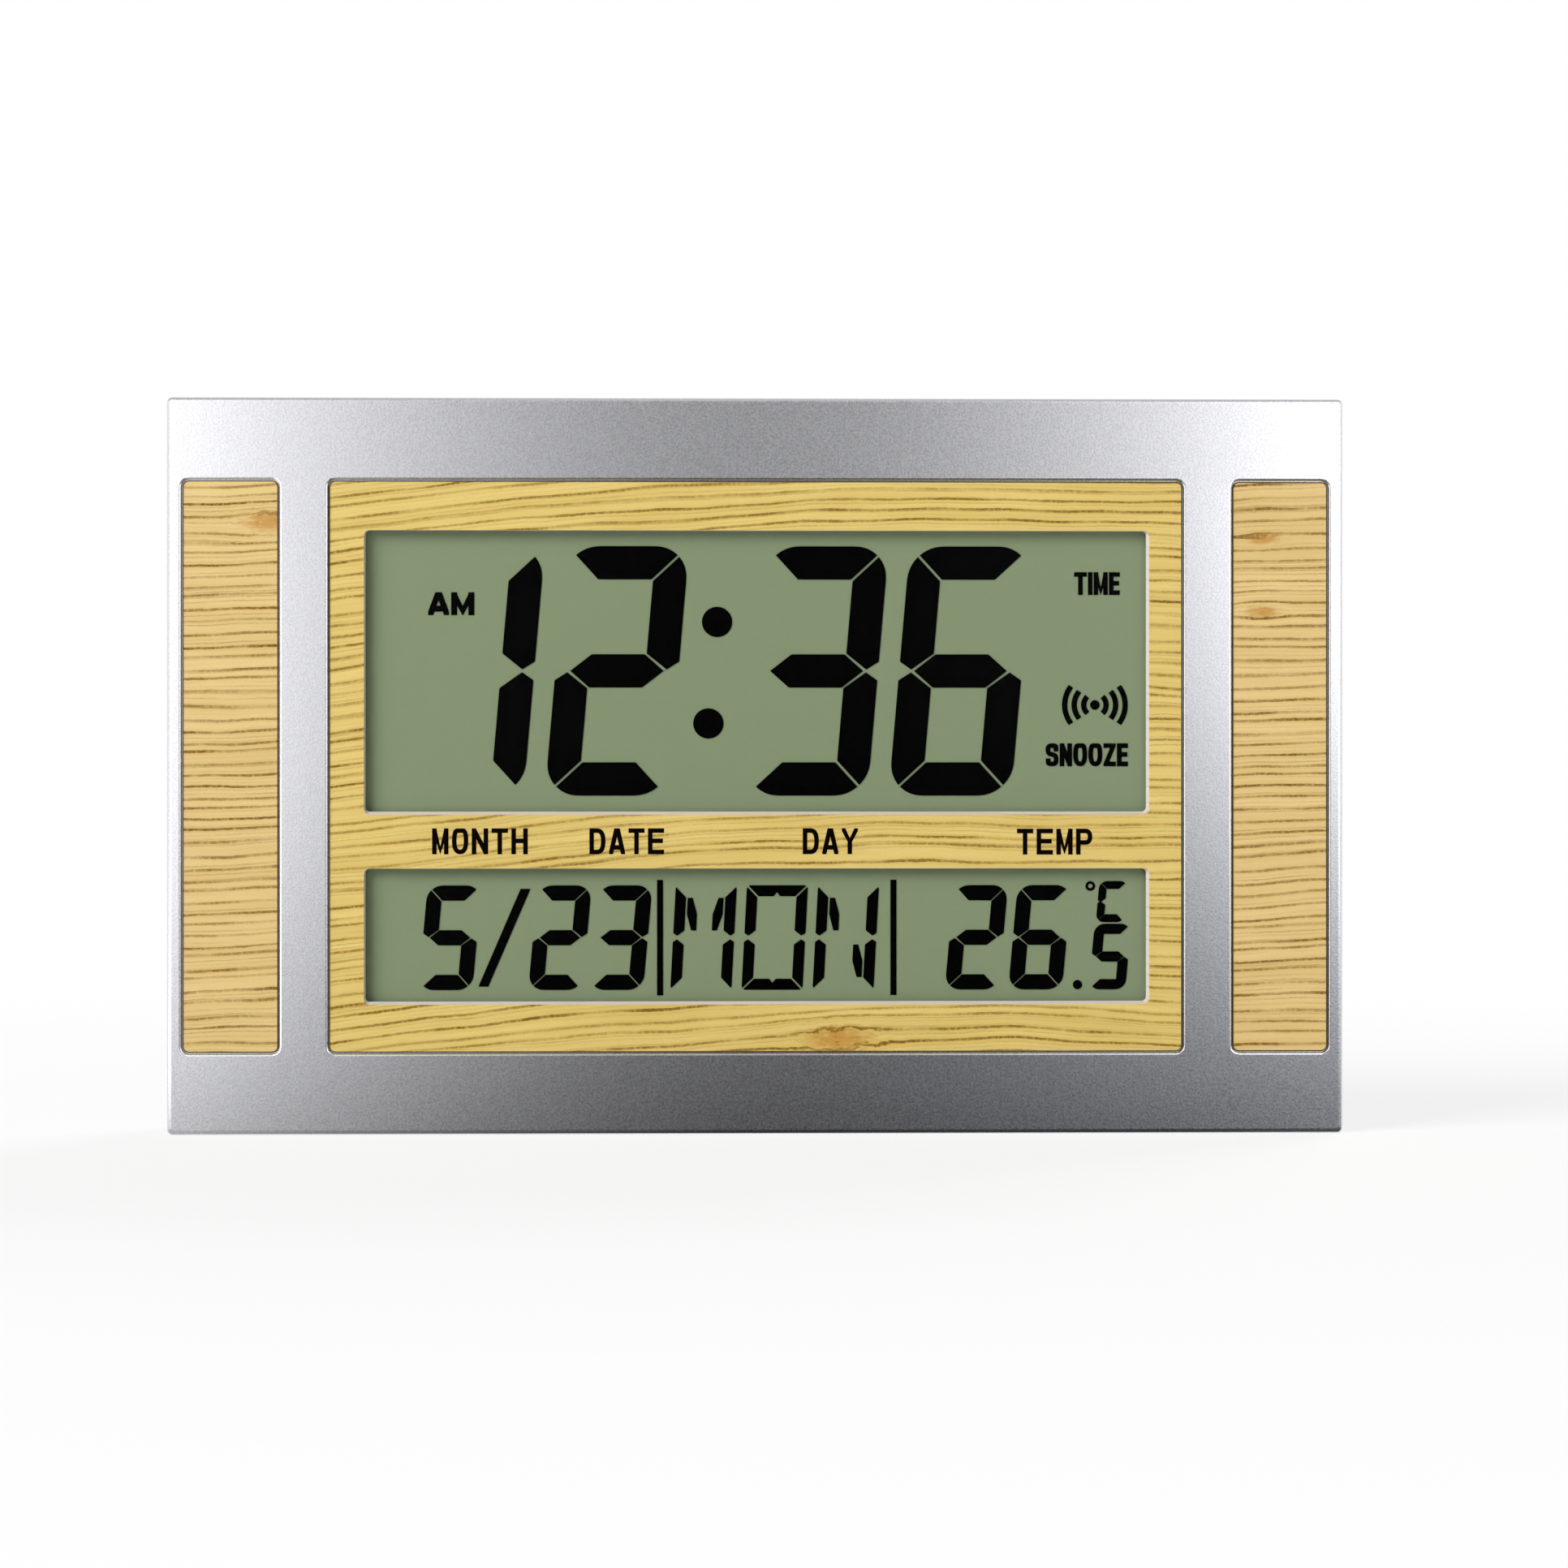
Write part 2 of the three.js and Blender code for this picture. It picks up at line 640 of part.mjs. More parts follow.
function lens(area) {
  const outline = outlineOf(widen(area, LENS_LEDGE - LENS_GAP), WINDOW_CORNER);
  return slab(outline, pocketFloor, pocketFloor + LENS_THICKNESS);
}

// Segment figures: each segment is an outline about the figure's middle, with mitred ends
function segmentFigure({ width, height, stroke, gap, corner, waist = 0 }) {
  const outerX = width / 2;
  const innerX = outerX - stroke;
  const topZ = height / 2;
  const innerZ = topZ - stroke;
  const mitre = gap * Math.SQRT1_2;
  const turn = THREE.MathUtils.radToDeg(Math.asin(Math.min(gap / (2 * corner), 1)));
  const point = (x, z) => new THREE.Vector2(x, z);
  const top = [
    point(innerX - mitre, innerZ),
    ...arc(outerX - corner, topZ - corner, corner, 45 + turn, 90, SEGMENT_CORNER_STEPS),
    ...arc(corner - outerX, topZ - corner, corner, 90, 135 - turn, SEGMENT_CORNER_STEPS),
    point(mitre - innerX, innerZ),
  ];
  const upperRight = [
    point(innerX, innerZ - mitre),
    point(innerX, waist + SEGMENT_INNER_END * stroke),
    point(innerX + SEGMENT_TIP_ACROSS * stroke, waist + SEGMENT_TIP_END * stroke),
    point(outerX, waist + SEGMENT_OUTER_END * stroke),
    ...arc(outerX - corner, topZ - corner, corner, 0, 45 - turn, SEGMENT_CORNER_STEPS),
  ];
  const middleTip = innerX + MIDDLE_TIP * stroke - mitre / 2;
  const middle = [
    point(innerX - mitre, -stroke / 2),
    point(middleTip, 0),
    point(innerX - mitre, stroke / 2),
    point(mitre - innerX, stroke / 2),
    point(-middleTip, 0),
    point(mitre - innerX, -stroke / 2),
  ];
  const flip = (outline, sx, sz) => outline.map((p) => point(p.x * sx, p.y * sz));
  return {
    top,
    middle,
    bottom: flip(top, 1, -1),
    upperRight,
    lowerRight: flip(upperRight, 1, -1),
    upperLeft: flip(upperRight, -1, 1),
    lowerLeft: flip(upperRight, -1, -1),
  };
}

const figures = {
  1: ['upperRight', 'lowerRight'],
  2: ['top', 'upperRight', 'middle', 'lowerLeft', 'bottom'],
  3: ['top', 'upperRight', 'middle', 'lowerRight', 'bottom'],
  5: ['top', 'upperLeft', 'middle', 'lowerRight', 'bottom'],
  6: ['top', 'upperLeft', 'middle', 'lowerLeft', 'lowerRight', 'bottom'],
  C: ['top', 'upperLeft', 'lowerLeft', 'bottom'],
  M: ['upperLeft', 'lowerLeft', 'upperRight', 'lowerRight', 'innerLeft', 'innerRight'],
  O: ['upperLeft', 'lowerLeft', 'upperRight', 'lowerRight', 'notchedTop', 'notchedBottom'],
  N: ['upperLeft', 'lowerLeft', 'upperRight', 'lowerRight', 'innerLeft', 'innerLow'],
};

// One raised mark on a glass, leaning by the slant about its own row
function mark(outline, x, z, slant = 0) {
  const placed = outline.map((p) => new THREE.Vector2(x + p.x + slant * p.y, z + p.y));
  return slab(placed, glassFront - SEGMENT_RELIEF, glassFront + SEGMENT_RELIEF);
}

function figure(character, segments, x, z, slant) {
  return figures[character].map((name) => mark(segments[name], x, z, slant));
}

function timeMarks() {
  const area = windows.time;
  const row = (area.base + area.top) / 2 + TIME_ROW_RISE;
  const segments = segmentFigure({
    width: TIME_DIGIT_WIDTH,
    height: area.top - area.base - 2 * TIME_DIGIT_MARGIN,
    stroke: TIME_STROKE,
    gap: TIME_SEGMENT_GAP,
    corner: TIME_STROKE,
  });
  const pairs = [['1', '2', HOUR_CENTRE], ['3', '6', MINUTE_CENTRE]];
  const digits = pairs.flatMap(([first, second, centre]) => [
    ...figure(first, segments, centre - TIME_DIGIT_PITCH / 2, row, TIME_SLANT),
    ...figure(second, segments, centre + TIME_DIGIT_PITCH / 2, row, TIME_SLANT),
  ]);
  const dots = [-COLON_SPREAD, COLON_SPREAD].map((rise) => {
    return mark(circle(COLON_RADIUS, DOT_SIDES), COLON_CENTRE + TIME_SLANT * rise, row - COLON_DROP + rise);
  });
  return [...digits, ...dots];
}

function letterSegments(height) {
  const segments = segmentFigure({
    width: LETTER_WIDTH,
    height,
    stroke: LETTER_STROKE,
    gap: LETTER_SEGMENT_GAP,
    corner: LETTER_CORNER,
    waist: LETTER_WAIST,
  });
  const outerEdge = LETTER_WIDTH / 2 - LETTER_STROKE - LETTER_SEGMENT_GAP;
  const innerEdge = outerEdge - DIAGONAL_WIDTH;
  const high = height / 2 - LETTER_STROKE - LETTER_SEGMENT_GAP;
  const low = LETTER_STROKE / 2 + LETTER_SEGMENT_GAP;
  const shoulder = (high + low) / 2;
  const point = (x, z) => new THREE.Vector2(x, z);
  const innerLeft = [
    point(-outerEdge, high),
    point(-outerEdge, shoulder),
    point(-innerEdge - DIAGONAL_TIP, low),
    point(-innerEdge, low),
    point(-innerEdge, shoulder),
    point(DIAGONAL_TIP - outerEdge, high),
  ];
  const notch = [
    point(-NOTCH_WIDTH / 2, height / 2 - LETTER_STROKE),
    point(0, height / 2 - LETTER_STROKE + NOTCH_DEPTH),
    point(NOTCH_WIDTH / 2, height / 2 - LETTER_STROKE),
  ];
  const notchedTop = [...segments.top, ...notch];
  return {
    ...segments,
    notchedTop,
    notchedBottom: notchedTop.map((p) => point(p.x, -p.y)),
    innerLeft,
    innerRight: innerLeft.map((p) => point(-p.x, p.y)),
    innerLow: innerLeft.map((p) => point(-p.x, -p.y)),
  };
}

function calendarMarks() {
  const area = windows.calendar;
  const row = (area.base + area.top) / 2 - SMALL_ROW_DROP;
  const height = area.top - area.base - 2 * SMALL_DIGIT_MARGIN;
  const small = segmentFigure({
    width: SMALL_DIGIT_WIDTH,
    height,
    stroke: SMALL_STROKE,
    gap: SMALL_SEGMENT_GAP,
    corner: SMALL_STROKE,
  });
  const tenths = segmentFigure({
    width: TENTHS_WIDTH,
    height: TENTHS_HEIGHT,
    stroke: TENTHS_STROKE,
    gap: 0,
    corner: TENTHS_STROKE,
  });
  const unit = segmentFigure({
    width: UNIT_WIDTH,
    height: UNIT_HEIGHT,
    stroke: UNIT_STROKE,
    gap: UNIT_SEGMENT_GAP,
    corner: UNIT_STROKE,
    waist: -UNIT_OVERLAP,
  });
  const letters = letterSegments(height);
  const base = row - height / 2;
  const tenthsRow = base + TENTHS_HEIGHT / 2;
  const unitRow = base + TENTHS_HEIGHT + UNIT_SPACING + UNIT_HEIGHT / 2;
  const dateX = area.left + DATE_FROM_LEFT;
  const degreesX = area.right - DEGREES_FROM_RIGHT;
  const tenthsX = area.right - TENTHS_FROM_RIGHT;
  const slashHalf = height / 2 - SLASH_TRIM;
  const slash = [
    [-SLASH_LEAN - SLASH_HALF_WIDTH, -slashHalf],
    [SLASH_HALF_WIDTH - SLASH_LEAN, -slashHalf],
    [SLASH_LEAN + SLASH_HALF_WIDTH, slashHalf],
    [SLASH_LEAN - SLASH_HALF_WIDTH, slashHalf],
  ].map(([x, z]) => new THREE.Vector2(x, z));
  const dividerHalf = height / 2 + DIVIDER_OVERRUN;
  const divider = [[-1, -1], [1, -1], [1, 1], [-1, 1]].map(([x, z]) => {
    return new THREE.Vector2((x * DIVIDER_WIDTH) / 2, z * dividerHalf);
  });
  const round = circle(POINT_RADIUS, SCREW_SIDES);
  const unitX = tenthsX + UNIT_SHIFT;
  const ring = circle(RING_RADIUS, SCREW_SIDES);
  const ringX = unitX - UNIT_WIDTH / 2 - RING_SPACING;
  const ringZ = unitRow + UNIT_HEIGHT / 2 - RING_RADIUS;
  const bore = peg(ringX, ringZ, RING_BORE, glassFront - 2 * SEGMENT_RELIEF, glassFront, SCREW_SIDES);
  const word = ['M', 'O', 'N'].flatMap((letter, place) => {
    return figure(letter, letters, LETTER_CENTRE + (place - 1) * LETTER_PITCH, row, LETTER_SLANT);
  });
  return [
    ...figure('5', small, area.left + MONTH_FROM_LEFT, row, SMALL_SLANT),
    mark(slash, area.left + SLASH_FROM_LEFT, row),
    ...figure('2', small, dateX, row, SMALL_SLANT),
    ...figure('3', small, dateX + SMALL_DIGIT_PITCH, row, SMALL_SLANT),
    mark(divider, area.left + DIVIDER_FROM_LEFT, row),
    ...word,
    mark(divider, area.right - DIVIDER_FROM_RIGHT, row),
    ...figure('2', small, degreesX, row, SMALL_SLANT),
    ...figure('6', small, degreesX + DEGREES_PITCH, row, SMALL_SLANT),
    mark(round, area.right - POINT_FROM_RIGHT, base + POINT_RADIUS),
    ...figure('5', tenths, tenthsX, tenthsRow, SMALL_SLANT),
    ...figure('C', unit, unitX, unitRow, SMALL_SLANT),
    cut(mark(ring, ringX, ringZ), bore),
  ];
}

// A display glass: two sheets, the rear one shorter at the edge where the contacts lie
function displayGlassBody(area, ledgeAtTop, marks) {
  const front = box(area.left, area.right, glassFront, glassMiddle, area.base, area.top);
  const rearBase = ledgeAtTop ? area.base : area.base + CONTACT_LEDGE;
  const rearTop = ledgeAtTop ? area.top - CONTACT_LEDGE : area.top;
  const rear = box(area.left, area.right, glassMiddle, glassBack, rearBase, rearTop);
  return join(front, rear, ...marks);
}

// Rubber connectors fill the contact ledges, from the glass to the board
const connectorHalf = glassHalf - CONNECTOR_END;
const connectorOn = (ledge) => ({
  base: ledge + CONNECTOR_INSET,
  top: ledge + CONTACT_LEDGE - CONNECTOR_INSET,
});
const connectors = {
  time: connectorOn(glasses.time.base),
  calendar: connectorOn(glasses.calendar.top - CONTACT_LEDGE),
};

// The white holder: a plate with a wall round each glass, ears for its screws and standoffs for the board
function displayHolder() {
  const around = GLASS_GAP + HOLDER_WALL;
  const body = {
    left: -glassHalf - around,
    right: glassHalf + around,
    base: glasses.calendar.base - around,
    top: glasses.time.top + around,
  };
  const ears = holderPosts.map(([x, z]) => {
    const reach = x > 0 ? [glassHalf, x] : [x, -glassHalf];
    const arm = box(reach[0], reach[1], glassBack, holderBack, z - HOLDER_EAR_RADIUS, z + HOLDER_EAR_RADIUS);
    return join(arm, peg(x, z, HOLDER_EAR_RADIUS, glassBack, holderBack));
  });
  const standoffs = boardScrews.map(([x, z]) => {
    return peg(x, z, STANDOFF_RADIUS, holderBack - JOIN_OVERLAP, boardFront);
  });
  const seats = Object.values(glasses).map((area) => {
    const room = widen(area, GLASS_GAP);
    return box(room.left, room.right, glassFront - CUT_OVERRUN, glassBack, room.base, room.top);
  });
  const slots = Object.values(connectors).map(({ base, top }) => {
    const half = connectorHalf + CONNECTOR_GAP;
    return box(-half, half, glassFront, holderBack + CUT_OVERRUN, base - CONNECTOR_GAP, top + CONNECTOR_GAP);
  });
  const hole = SMALL_SCREW_RADIUS + SCREW_GAP;
  const boardHoleFloor = boardBack - BOARD_SCREW_LENGTH - SCREW_GAP;
  const holes = [
    ...holderPosts.map(([x, z]) => {
      return peg(x, z, hole, glassBack - CUT_OVERRUN, holderBack + CUT_OVERRUN, SCREW_SIDES);
    }),
    ...boardScrews.map(([x, z]) => {
      return peg(x, z, hole, boardHoleFloor, boardFront + CUT_OVERRUN, SCREW_SIDES);
    }),
  ];
  const plate = slab(outlineOf(body, HOLDER_WALL), glassFront, holderBack);
  return cut(join(cut(plate, ...seats), ...ears, ...standoffs), ...slots, ...holes);
}

function mainBoard() {
  const plate = box(-boardHalf, boardHalf, boardFront, boardBack, boardBase, boardTop);
  const hole = SMALL_SCREW_RADIUS + SCREW_GAP;
  const holes = boardScrews.map(([x, z]) => {
    return peg(x, z, hole, boardFront - CUT_OVERRUN, boardBack + CUT_OVERRUN, SCREW_SIDES);
  });
  return cut(plate, ...holes);
}

// Back cover sections: straight at the base, tapered and rounded at the sides and the top
function backSections(wall) {
  const area = (inset, rise) => ({
    left: inset + wall - halfWidth,
    right: halfWidth - inset - wall,
    base: rise + wall,
    top: CLOCK_HEIGHT - inset - wall,
  });
  const corner = (inset) => Math.max(BACK_CORNER + inset - wall, FRAME_CORNER);
  const start = wall > 0 ? FRAME_DEPTH - CUT_OVERRUN : FRAME_DEPTH;
  const sections = [{ outline: outlineOf(area(BACK_STEP, 0), corner(0)), depth: start }];
  for (let step = 0; step <= EDGE_STEPS; step += 1) {
    const angle = (step / EDGE_STEPS) * (Math.PI / 2);
    const inset = BACK_STEP + BACK_TAPER + BACK_ROUND * (1 - Math.cos(angle));
    const rise = BASE_ROUND * (1 - Math.cos(angle));
    const outline = outlineOf(area(inset, rise), corner(inset - BACK_STEP));
    sections.push({ outline, depth: clockDepth - wall - BACK_ROUND * (1 - Math.sin(angle)) });
  }
  return sections;
}

// Fold-out stand: hinge line and the recess that it folds into
const hingeDepth = clockDepth - STAND_SINK - HINGE_RADIUS;
const standFront = clockDepth - STAND_SINK - STAND_THICKNESS;
const standBack = clockDepth - STAND_SINK;
const recessFloor = Math.min(standFront, hingeDepth - HINGE_RADIUS) - STAND_GAP;
const recess = {
  left: -STAND_WIDTH / 2 - STAND_GAP,
  right: STAND_WIDTH / 2 + STAND_GAP,
  base: STAND_FOOT_HEIGHT - STAND_GAP,
  top: STAND_HINGE_HEIGHT + HINGE_RADIUS + STAND_GAP,
};

// Battery door and the ledge that it closes on
const doorway = widen({ left: boxLeft, right: boxRight, base: boxBase, top: boxTop }, DOOR_LEDGE);
const doorArea = widen(doorway, -DOOR_GAP);
const hookPlaces = [-HOOK_SPACING / 2, HOOK_SPACING / 2].map((offset) => batteryCentre + offset);
const hookBack = backInner - DOOR_GAP;
const hookFront = hookBack - HOOK_THICKNESS;
const hookRoot = boxTop - HOOK_NECK - DOOR_GAP;

// Button row: places, trough and the layers under it
const keySpan = (KEY_NAMES.length - 1) * KEY_PITCH;
const keyBoardHalf = keySpan / 2 + KEY_BOARD_END;
const keyCentre = KEY_SIDE_MARGIN + keyBoardHalf - halfWidth;
const keyPlaces = KEY_NAMES.map((_, place) => keyCentre - keySpan / 2 + place * KEY_PITCH);
const troughFloor = clockDepth - TROUGH_DEPTH;
const troughInner = troughFloor - BACK_WALL;
const flangeBack = troughInner - KEY_GAP;
const flangeFront = flangeBack - KEY_FLANGE_THICKNESS;
const domeTop = flangeFront - KEY_TRAVEL - KEY_GAP;
const matBack = domeTop - DOME_HEIGHT;
const keyBoardBack = matBack - MAT_THICKNESS;
const keyBoardFront = keyBoardBack - BOARD_THICKNESS;
const keyPostX = keyBoardHalf - KEY_POST_INSET;
const keyPosts = [keyCentre - keyPostX, keyCentre + keyPostX].map((x) => [x, keyRow]);

const keyholeMouth = CLOCK_HEIGHT - KEYHOLE_DROP;
const buzzerBack = backInner - BUZZER_RING_HEIGHT;

// Contact plates stand against the two end walls of the battery box, with tabs through the wall
const tabHalf = CONTACT_TAB / 2;
const tabFront = cellDepth - CONTACT_THICKNESS / 2;

function airSlots(centreX) {
  return Array.from({ length: SLOT_COUNT }, (_, place) => {
    const x = centreX + (place - (SLOT_COUNT - 1) / 2) * SLOT_PITCH;
    const half = SLOT_WIDTH / 2;
    const base = BUZZER_HEIGHT - SLOT_LENGTH / 2;
    const outline = roundedRect(x - half, x + half, base, base + SLOT_LENGTH, half * SLOT_ROUNDING);
    return slab(outline, backInner - CUT_OVERRUN, clockDepth + CUT_OVERRUN);
  });
}

// The back cover: a tray with a stand recess, a battery box, a button trough, a keyhole and screw bosses
function backCover() {
  const tray = cut(loft(backSections(0)), loft(backSections(BACK_WALL)));
  const inside = backInner + JOIN_OVERLAP;
  const past = clockDepth + CUT_OVERRUN;
  const boxOf = (area, front, back) => box(area.left, area.right, front, back, area.base, area.top);

  const recessBlock = { ...widen(recess, RECESS_WALL), base: BACK_WALL / 2 };
  const cellRoom = { left: boxLeft, right: boxRight, base: boxBase, top: boxTop };
  const pocketHalf = KEYHOLE_MOUTH_RADIUS + KEYHOLE_POCKET_MARGIN;
  const keyholePocket = {
    left: -pocketHalf,
    right: pocketHalf,
    base: keyholeMouth - pocketHalf,
    top: keyholeMouth + KEYHOLE_RUN + pocketHalf - KEYHOLE_POCKET_MARGIN / 2,
  };
  const pocketFloorDepth = backInner - KEYHOLE_POCKET_DEPTH;
  const trough = {
    left: keyCentre - keySpan / 2 - TROUGH_MARGIN,
    right: keyCentre + keySpan / 2 + TROUGH_MARGIN,
    base: keyRow - TROUGH_HEIGHT / 2,
    top: keyRow + TROUGH_HEIGHT / 2,
  };
  const troughBlock = {
    left: Math.min(trough.left - BACK_WALL, keyCentre - keyPostX - KEY_POST_RADIUS),
    right: Math.max(trough.right + BACK_WALL, keyCentre + keyPostX + KEY_POST_RADIUS),
    base: trough.base - BACK_WALL,
    top: trough.top + BACK_WALL,
  };
  const ringBore = BUZZER_RADIUS - BUZZER_RING_WALL;
  const ring = cut(
    peg(keyCentre, BUZZER_HEIGHT, BUZZER_RADIUS, buzzerBack, inside, 2 * ROUND_SIDES),
    peg(keyCentre, BUZZER_HEIGHT, ringBore, buzzerBack - CUT_OVERRUN, inside, 2 * ROUND_SIDES),
  );
  const blocks = [
    boxOf(recessBlock, recessFloor - RECESS_WALL, inside),
    boxOf(widen(cellRoom, INNER_WALL), boxFloorFront, inside),
    boxOf(widen(keyholePocket, INNER_WALL), pocketFloorDepth - INNER_WALL, inside),
    boxOf(troughBlock, troughInner, inside),
    ring,
    ...casePosts.map(([x, z]) => peg(x, z, CASE_BOSS_RADIUS, casePostEnd, inside)),
    ...keyPosts.map(([x, z]) => peg(x, z, KEY_POST_RADIUS, keyBoardBack, inside)),
  ];

  const slotHalf = KEYHOLE_SLOT_WIDTH / 2;
  const keyholeTop = keyholeMouth + KEYHOLE_RUN;
  const pinHole = HINGE_PIN_RADIUS + HINGE_PIN_GAP;
  const pinReach = STAND_WIDTH / 2 + HINGE_PIN_LENGTH + CUT_OVERRUN;
  const hookRoom = HOOK_WIDTH / 2 + HOOK_GAP;
  const caseHole = CASE_SCREW_RADIUS + SCREW_GAP;
  const keyHole = SMALL_SCREW_RADIUS + SCREW_GAP;
  const tabRoom = CONTACT_THICKNESS / 2 + SCREW_GAP;
  const tabSide = tabHalf + SCREW_GAP;
  const tabReach = boxRight + CONTACT_TAB_LENGTH;
  const cuts = [
    slab(outlineOf(recess, STAND_GAP), recessFloor, past),
    bar(-pinReach, pinReach, hingeDepth, STAND_HINGE_HEIGHT, pinHole),
    boxOf(cellRoom, boxFloor, past),
    slab(outlineOf(doorway, DOOR_CORNER), doorInner, past),
    ...hookPlaces.flatMap((x) => {
      const slot = { left: x - hookRoom, right: x + hookRoom, base: boxTop - HOOK_GAP, top: doorway.top };
      const catchRoom = { ...slot, top: doorArea.top + HOOK_REACH + HOOK_GAP };
      return [boxOf(slot, hookFront - HOOK_GAP, past), boxOf(catchRoom, hookFront - HOOK_GAP, backInner)];
    }),
    ...[lowerCell, upperCell].map((z) => {
      const tab = { left: boxRight - CUT_OVERRUN, right: tabReach, base: z - tabSide, top: z + tabSide };
      return boxOf(tab, cellDepth - tabRoom, cellDepth + tabRoom);
    }),
    boxOf(keyholePocket, pocketFloorDepth, backInner),
    peg(0, keyholeMouth, KEYHOLE_MOUTH_RADIUS, backInner - CUT_OVERRUN, past),
    box(-slotHalf, slotHalf, backInner - CUT_OVERRUN, past, keyholeMouth, keyholeTop),
    peg(0, keyholeTop, slotHalf, backInner - CUT_OVERRUN, past),
    slab(outlineOf(trough, BACK_WALL), troughFloor, past),
    ...keyPlaces.map((x) => peg(x, keyRow, KEY_RADIUS + KEY_GAP, troughInner - CUT_OVERRUN, past)),
    ...keyPosts.map(([x, z]) => peg(x, z, keyHole, keyBoardBack - CUT_OVERRUN, troughInner, SCREW_SIDES)),
    ...casePosts.map(([x, z]) => peg(x, z, caseHole, casePostEnd - CUT_OVERRUN, past, SCREW_SIDES)),
    ...casePosts.map(([x, z]) => peg(x, z, CASE_HEAD_RADIUS + SCREW_GAP, screwSeat, past)),
    ...airSlots(keyCentre),
    ...airSlots(batteryCentre),
  ];
  return cut(join(tray, ...blocks), ...cuts);
}

// The stand: a hollow moulded leg with a hinge barrel, two pins and a notch for a fingertip at its foot
function standLeg() {
  const half = STAND_WIDTH / 2;
  const area = { left: -half, right: half, base: STAND_FOOT_HEIGHT, top: STAND_HINGE_HEIGHT };
  const foot = [
    ...arc(-half + STAND_CORNER, area.base + STAND_CORNER, STAND_CORNER, 180, 270, CORNER_STEPS),
    ...arc(half - STAND_CORNER, area.base + STAND_CORNER, STAND_CORNER, 270, 360, CORNER_STEPS),
    new THREE.Vector2(half, area.top),
    new THREE.Vector2(-half, area.top),
  ];
  const plate = slab(foot, standFront, standBack);
  const barrel = bar(-half, half, hingeDepth, STAND_HINGE_HEIGHT, HINGE_RADIUS);
  const pinReach = half + HINGE_PIN_LENGTH;
  const pins = bar(-pinReach, pinReach, hingeDepth, STAND_HINGE_HEIGHT, HINGE_PIN_RADIUS);
  const notchHalf = NOTCH_SPAN / 2;
  const notch = box(
    -notchHalf, notchHalf, standFront - CUT_OVERRUN, standBack + CUT_OVERRUN,
    area.base - CUT_OVERRUN, area.base + NOTCH_RISE,
  );
  const bayBase = area.base + NOTCH_RISE + STAND_RIM;
  const bayTop = area.top - HINGE_RADIUS - STAND_RIM;
  const bayPitch = (STAND_WIDTH - STAND_RIM) / STAND_BAYS;
  const bays = Array.from({ length: STAND_BAYS }, (_, place) => {
    const left = -half + STAND_RIM + place * bayPitch;
    const outline = roundedRect(left, left + bayPitch - STAND_RIM, bayBase, bayTop, STAND_RIM / 2);
    return slab(outline, standFront - CUT_OVERRUN, standBack - STAND_SKIN);
  });
  return cut(join(plate, barrel, pins), notch, ...bays);
}

// The door: a plate with two hooks over the top wall and a latch nib at the bottom
function batteryDoor() {
  const plate = slab(outlineOf(doorArea, DOOR_CORNER - DOOR_GAP), doorInner, doorOuter);
  const hooks = hookPlaces.flatMap((x) => {
    const left = x - HOOK_WIDTH / 2;
    const right = x + HOOK_WIDTH / 2;
    return [
      box(left, right, hookFront, doorInner + JOIN_OVERLAP, hookRoot, hookRoot + HOOK_NECK),
      box(left, right, hookFront, hookBack, hookRoot, doorArea.top + HOOK_REACH),
    ];
  });
  const latchBase = boxBase + 2 * DOOR_GAP;
  const latch = box(
    batteryCentre - LATCH_WIDTH / 2, batteryCentre + LATCH_WIDTH / 2,
    doorInner - LATCH_DEPTH, doorInner + JOIN_OVERLAP, latchBase, latchBase + HOOK_NECK,
  );
  return join(plate, ...hooks, latch);
}

// An AA cell that points along +X from its flat end
function cell() {
  const radius = CELL_DIAMETER / 2;
  const profile = [
    [0, 0], [radius - CELL_EDGE, 0], [radius, CELL_EDGE],
    [radius, CELL_LENGTH - CELL_SHOULDER], [radius - CELL_SHOULDER, CELL_LENGTH],
    [NUB_RADIUS, CELL_LENGTH], [NUB_RADIUS, CELL_LENGTH + NUB_LENGTH], [0, CELL_LENGTH + NUB_LENGTH],
  ];
  return solid(turned(profile, CELL_SIDES).rotateZ(-Math.PI / 2));
}

// A conical contact spring along +X, from the wide turn on its plate to the narrow turn on the cell
class ContactSpring extends THREE.Curve {
  getPoint(t) {
    const angle = t * SPRING_TURNS * 2 * Math.PI;
    const radius = SPRING_WIDE_RADIUS + (SPRING_NARROW_RADIUS - SPRING_WIDE_RADIUS) * t;
    const margin = SPRING_END_GAP + SPRING_WIRE_RADIUS;
    const run = SPRING_ROOM - 2 * margin;
    return new THREE.Vector3(margin + run * t, radius * Math.cos(angle), radius * Math.sin(angle));
  }
}

// The least gap between neighbouring turns of the spring, measured on points
function springGap() {
  const curve = new ContactSpring();
  const points = curve.getPoints(SPRING_TURNS * DOT_SIDES);
  const apart = (DOT_SIDES * 2) / 3;
  let least = Infinity;
  points.forEach((point, i) => {
    for (let j = i + apart; j < points.length; j += 1) {
      least = Math.min(least, point.distanceTo(points[j]));
    }
  });
  return least - 2 * SPRING_WIRE_RADIUS;
}

function contactSpring() {
  return wire(new ContactSpring(), SPRING_WIRE_RADIUS, SPRING_TURNS * SPRING_STEPS_PER_TURN, SPRING_SIDES);
}

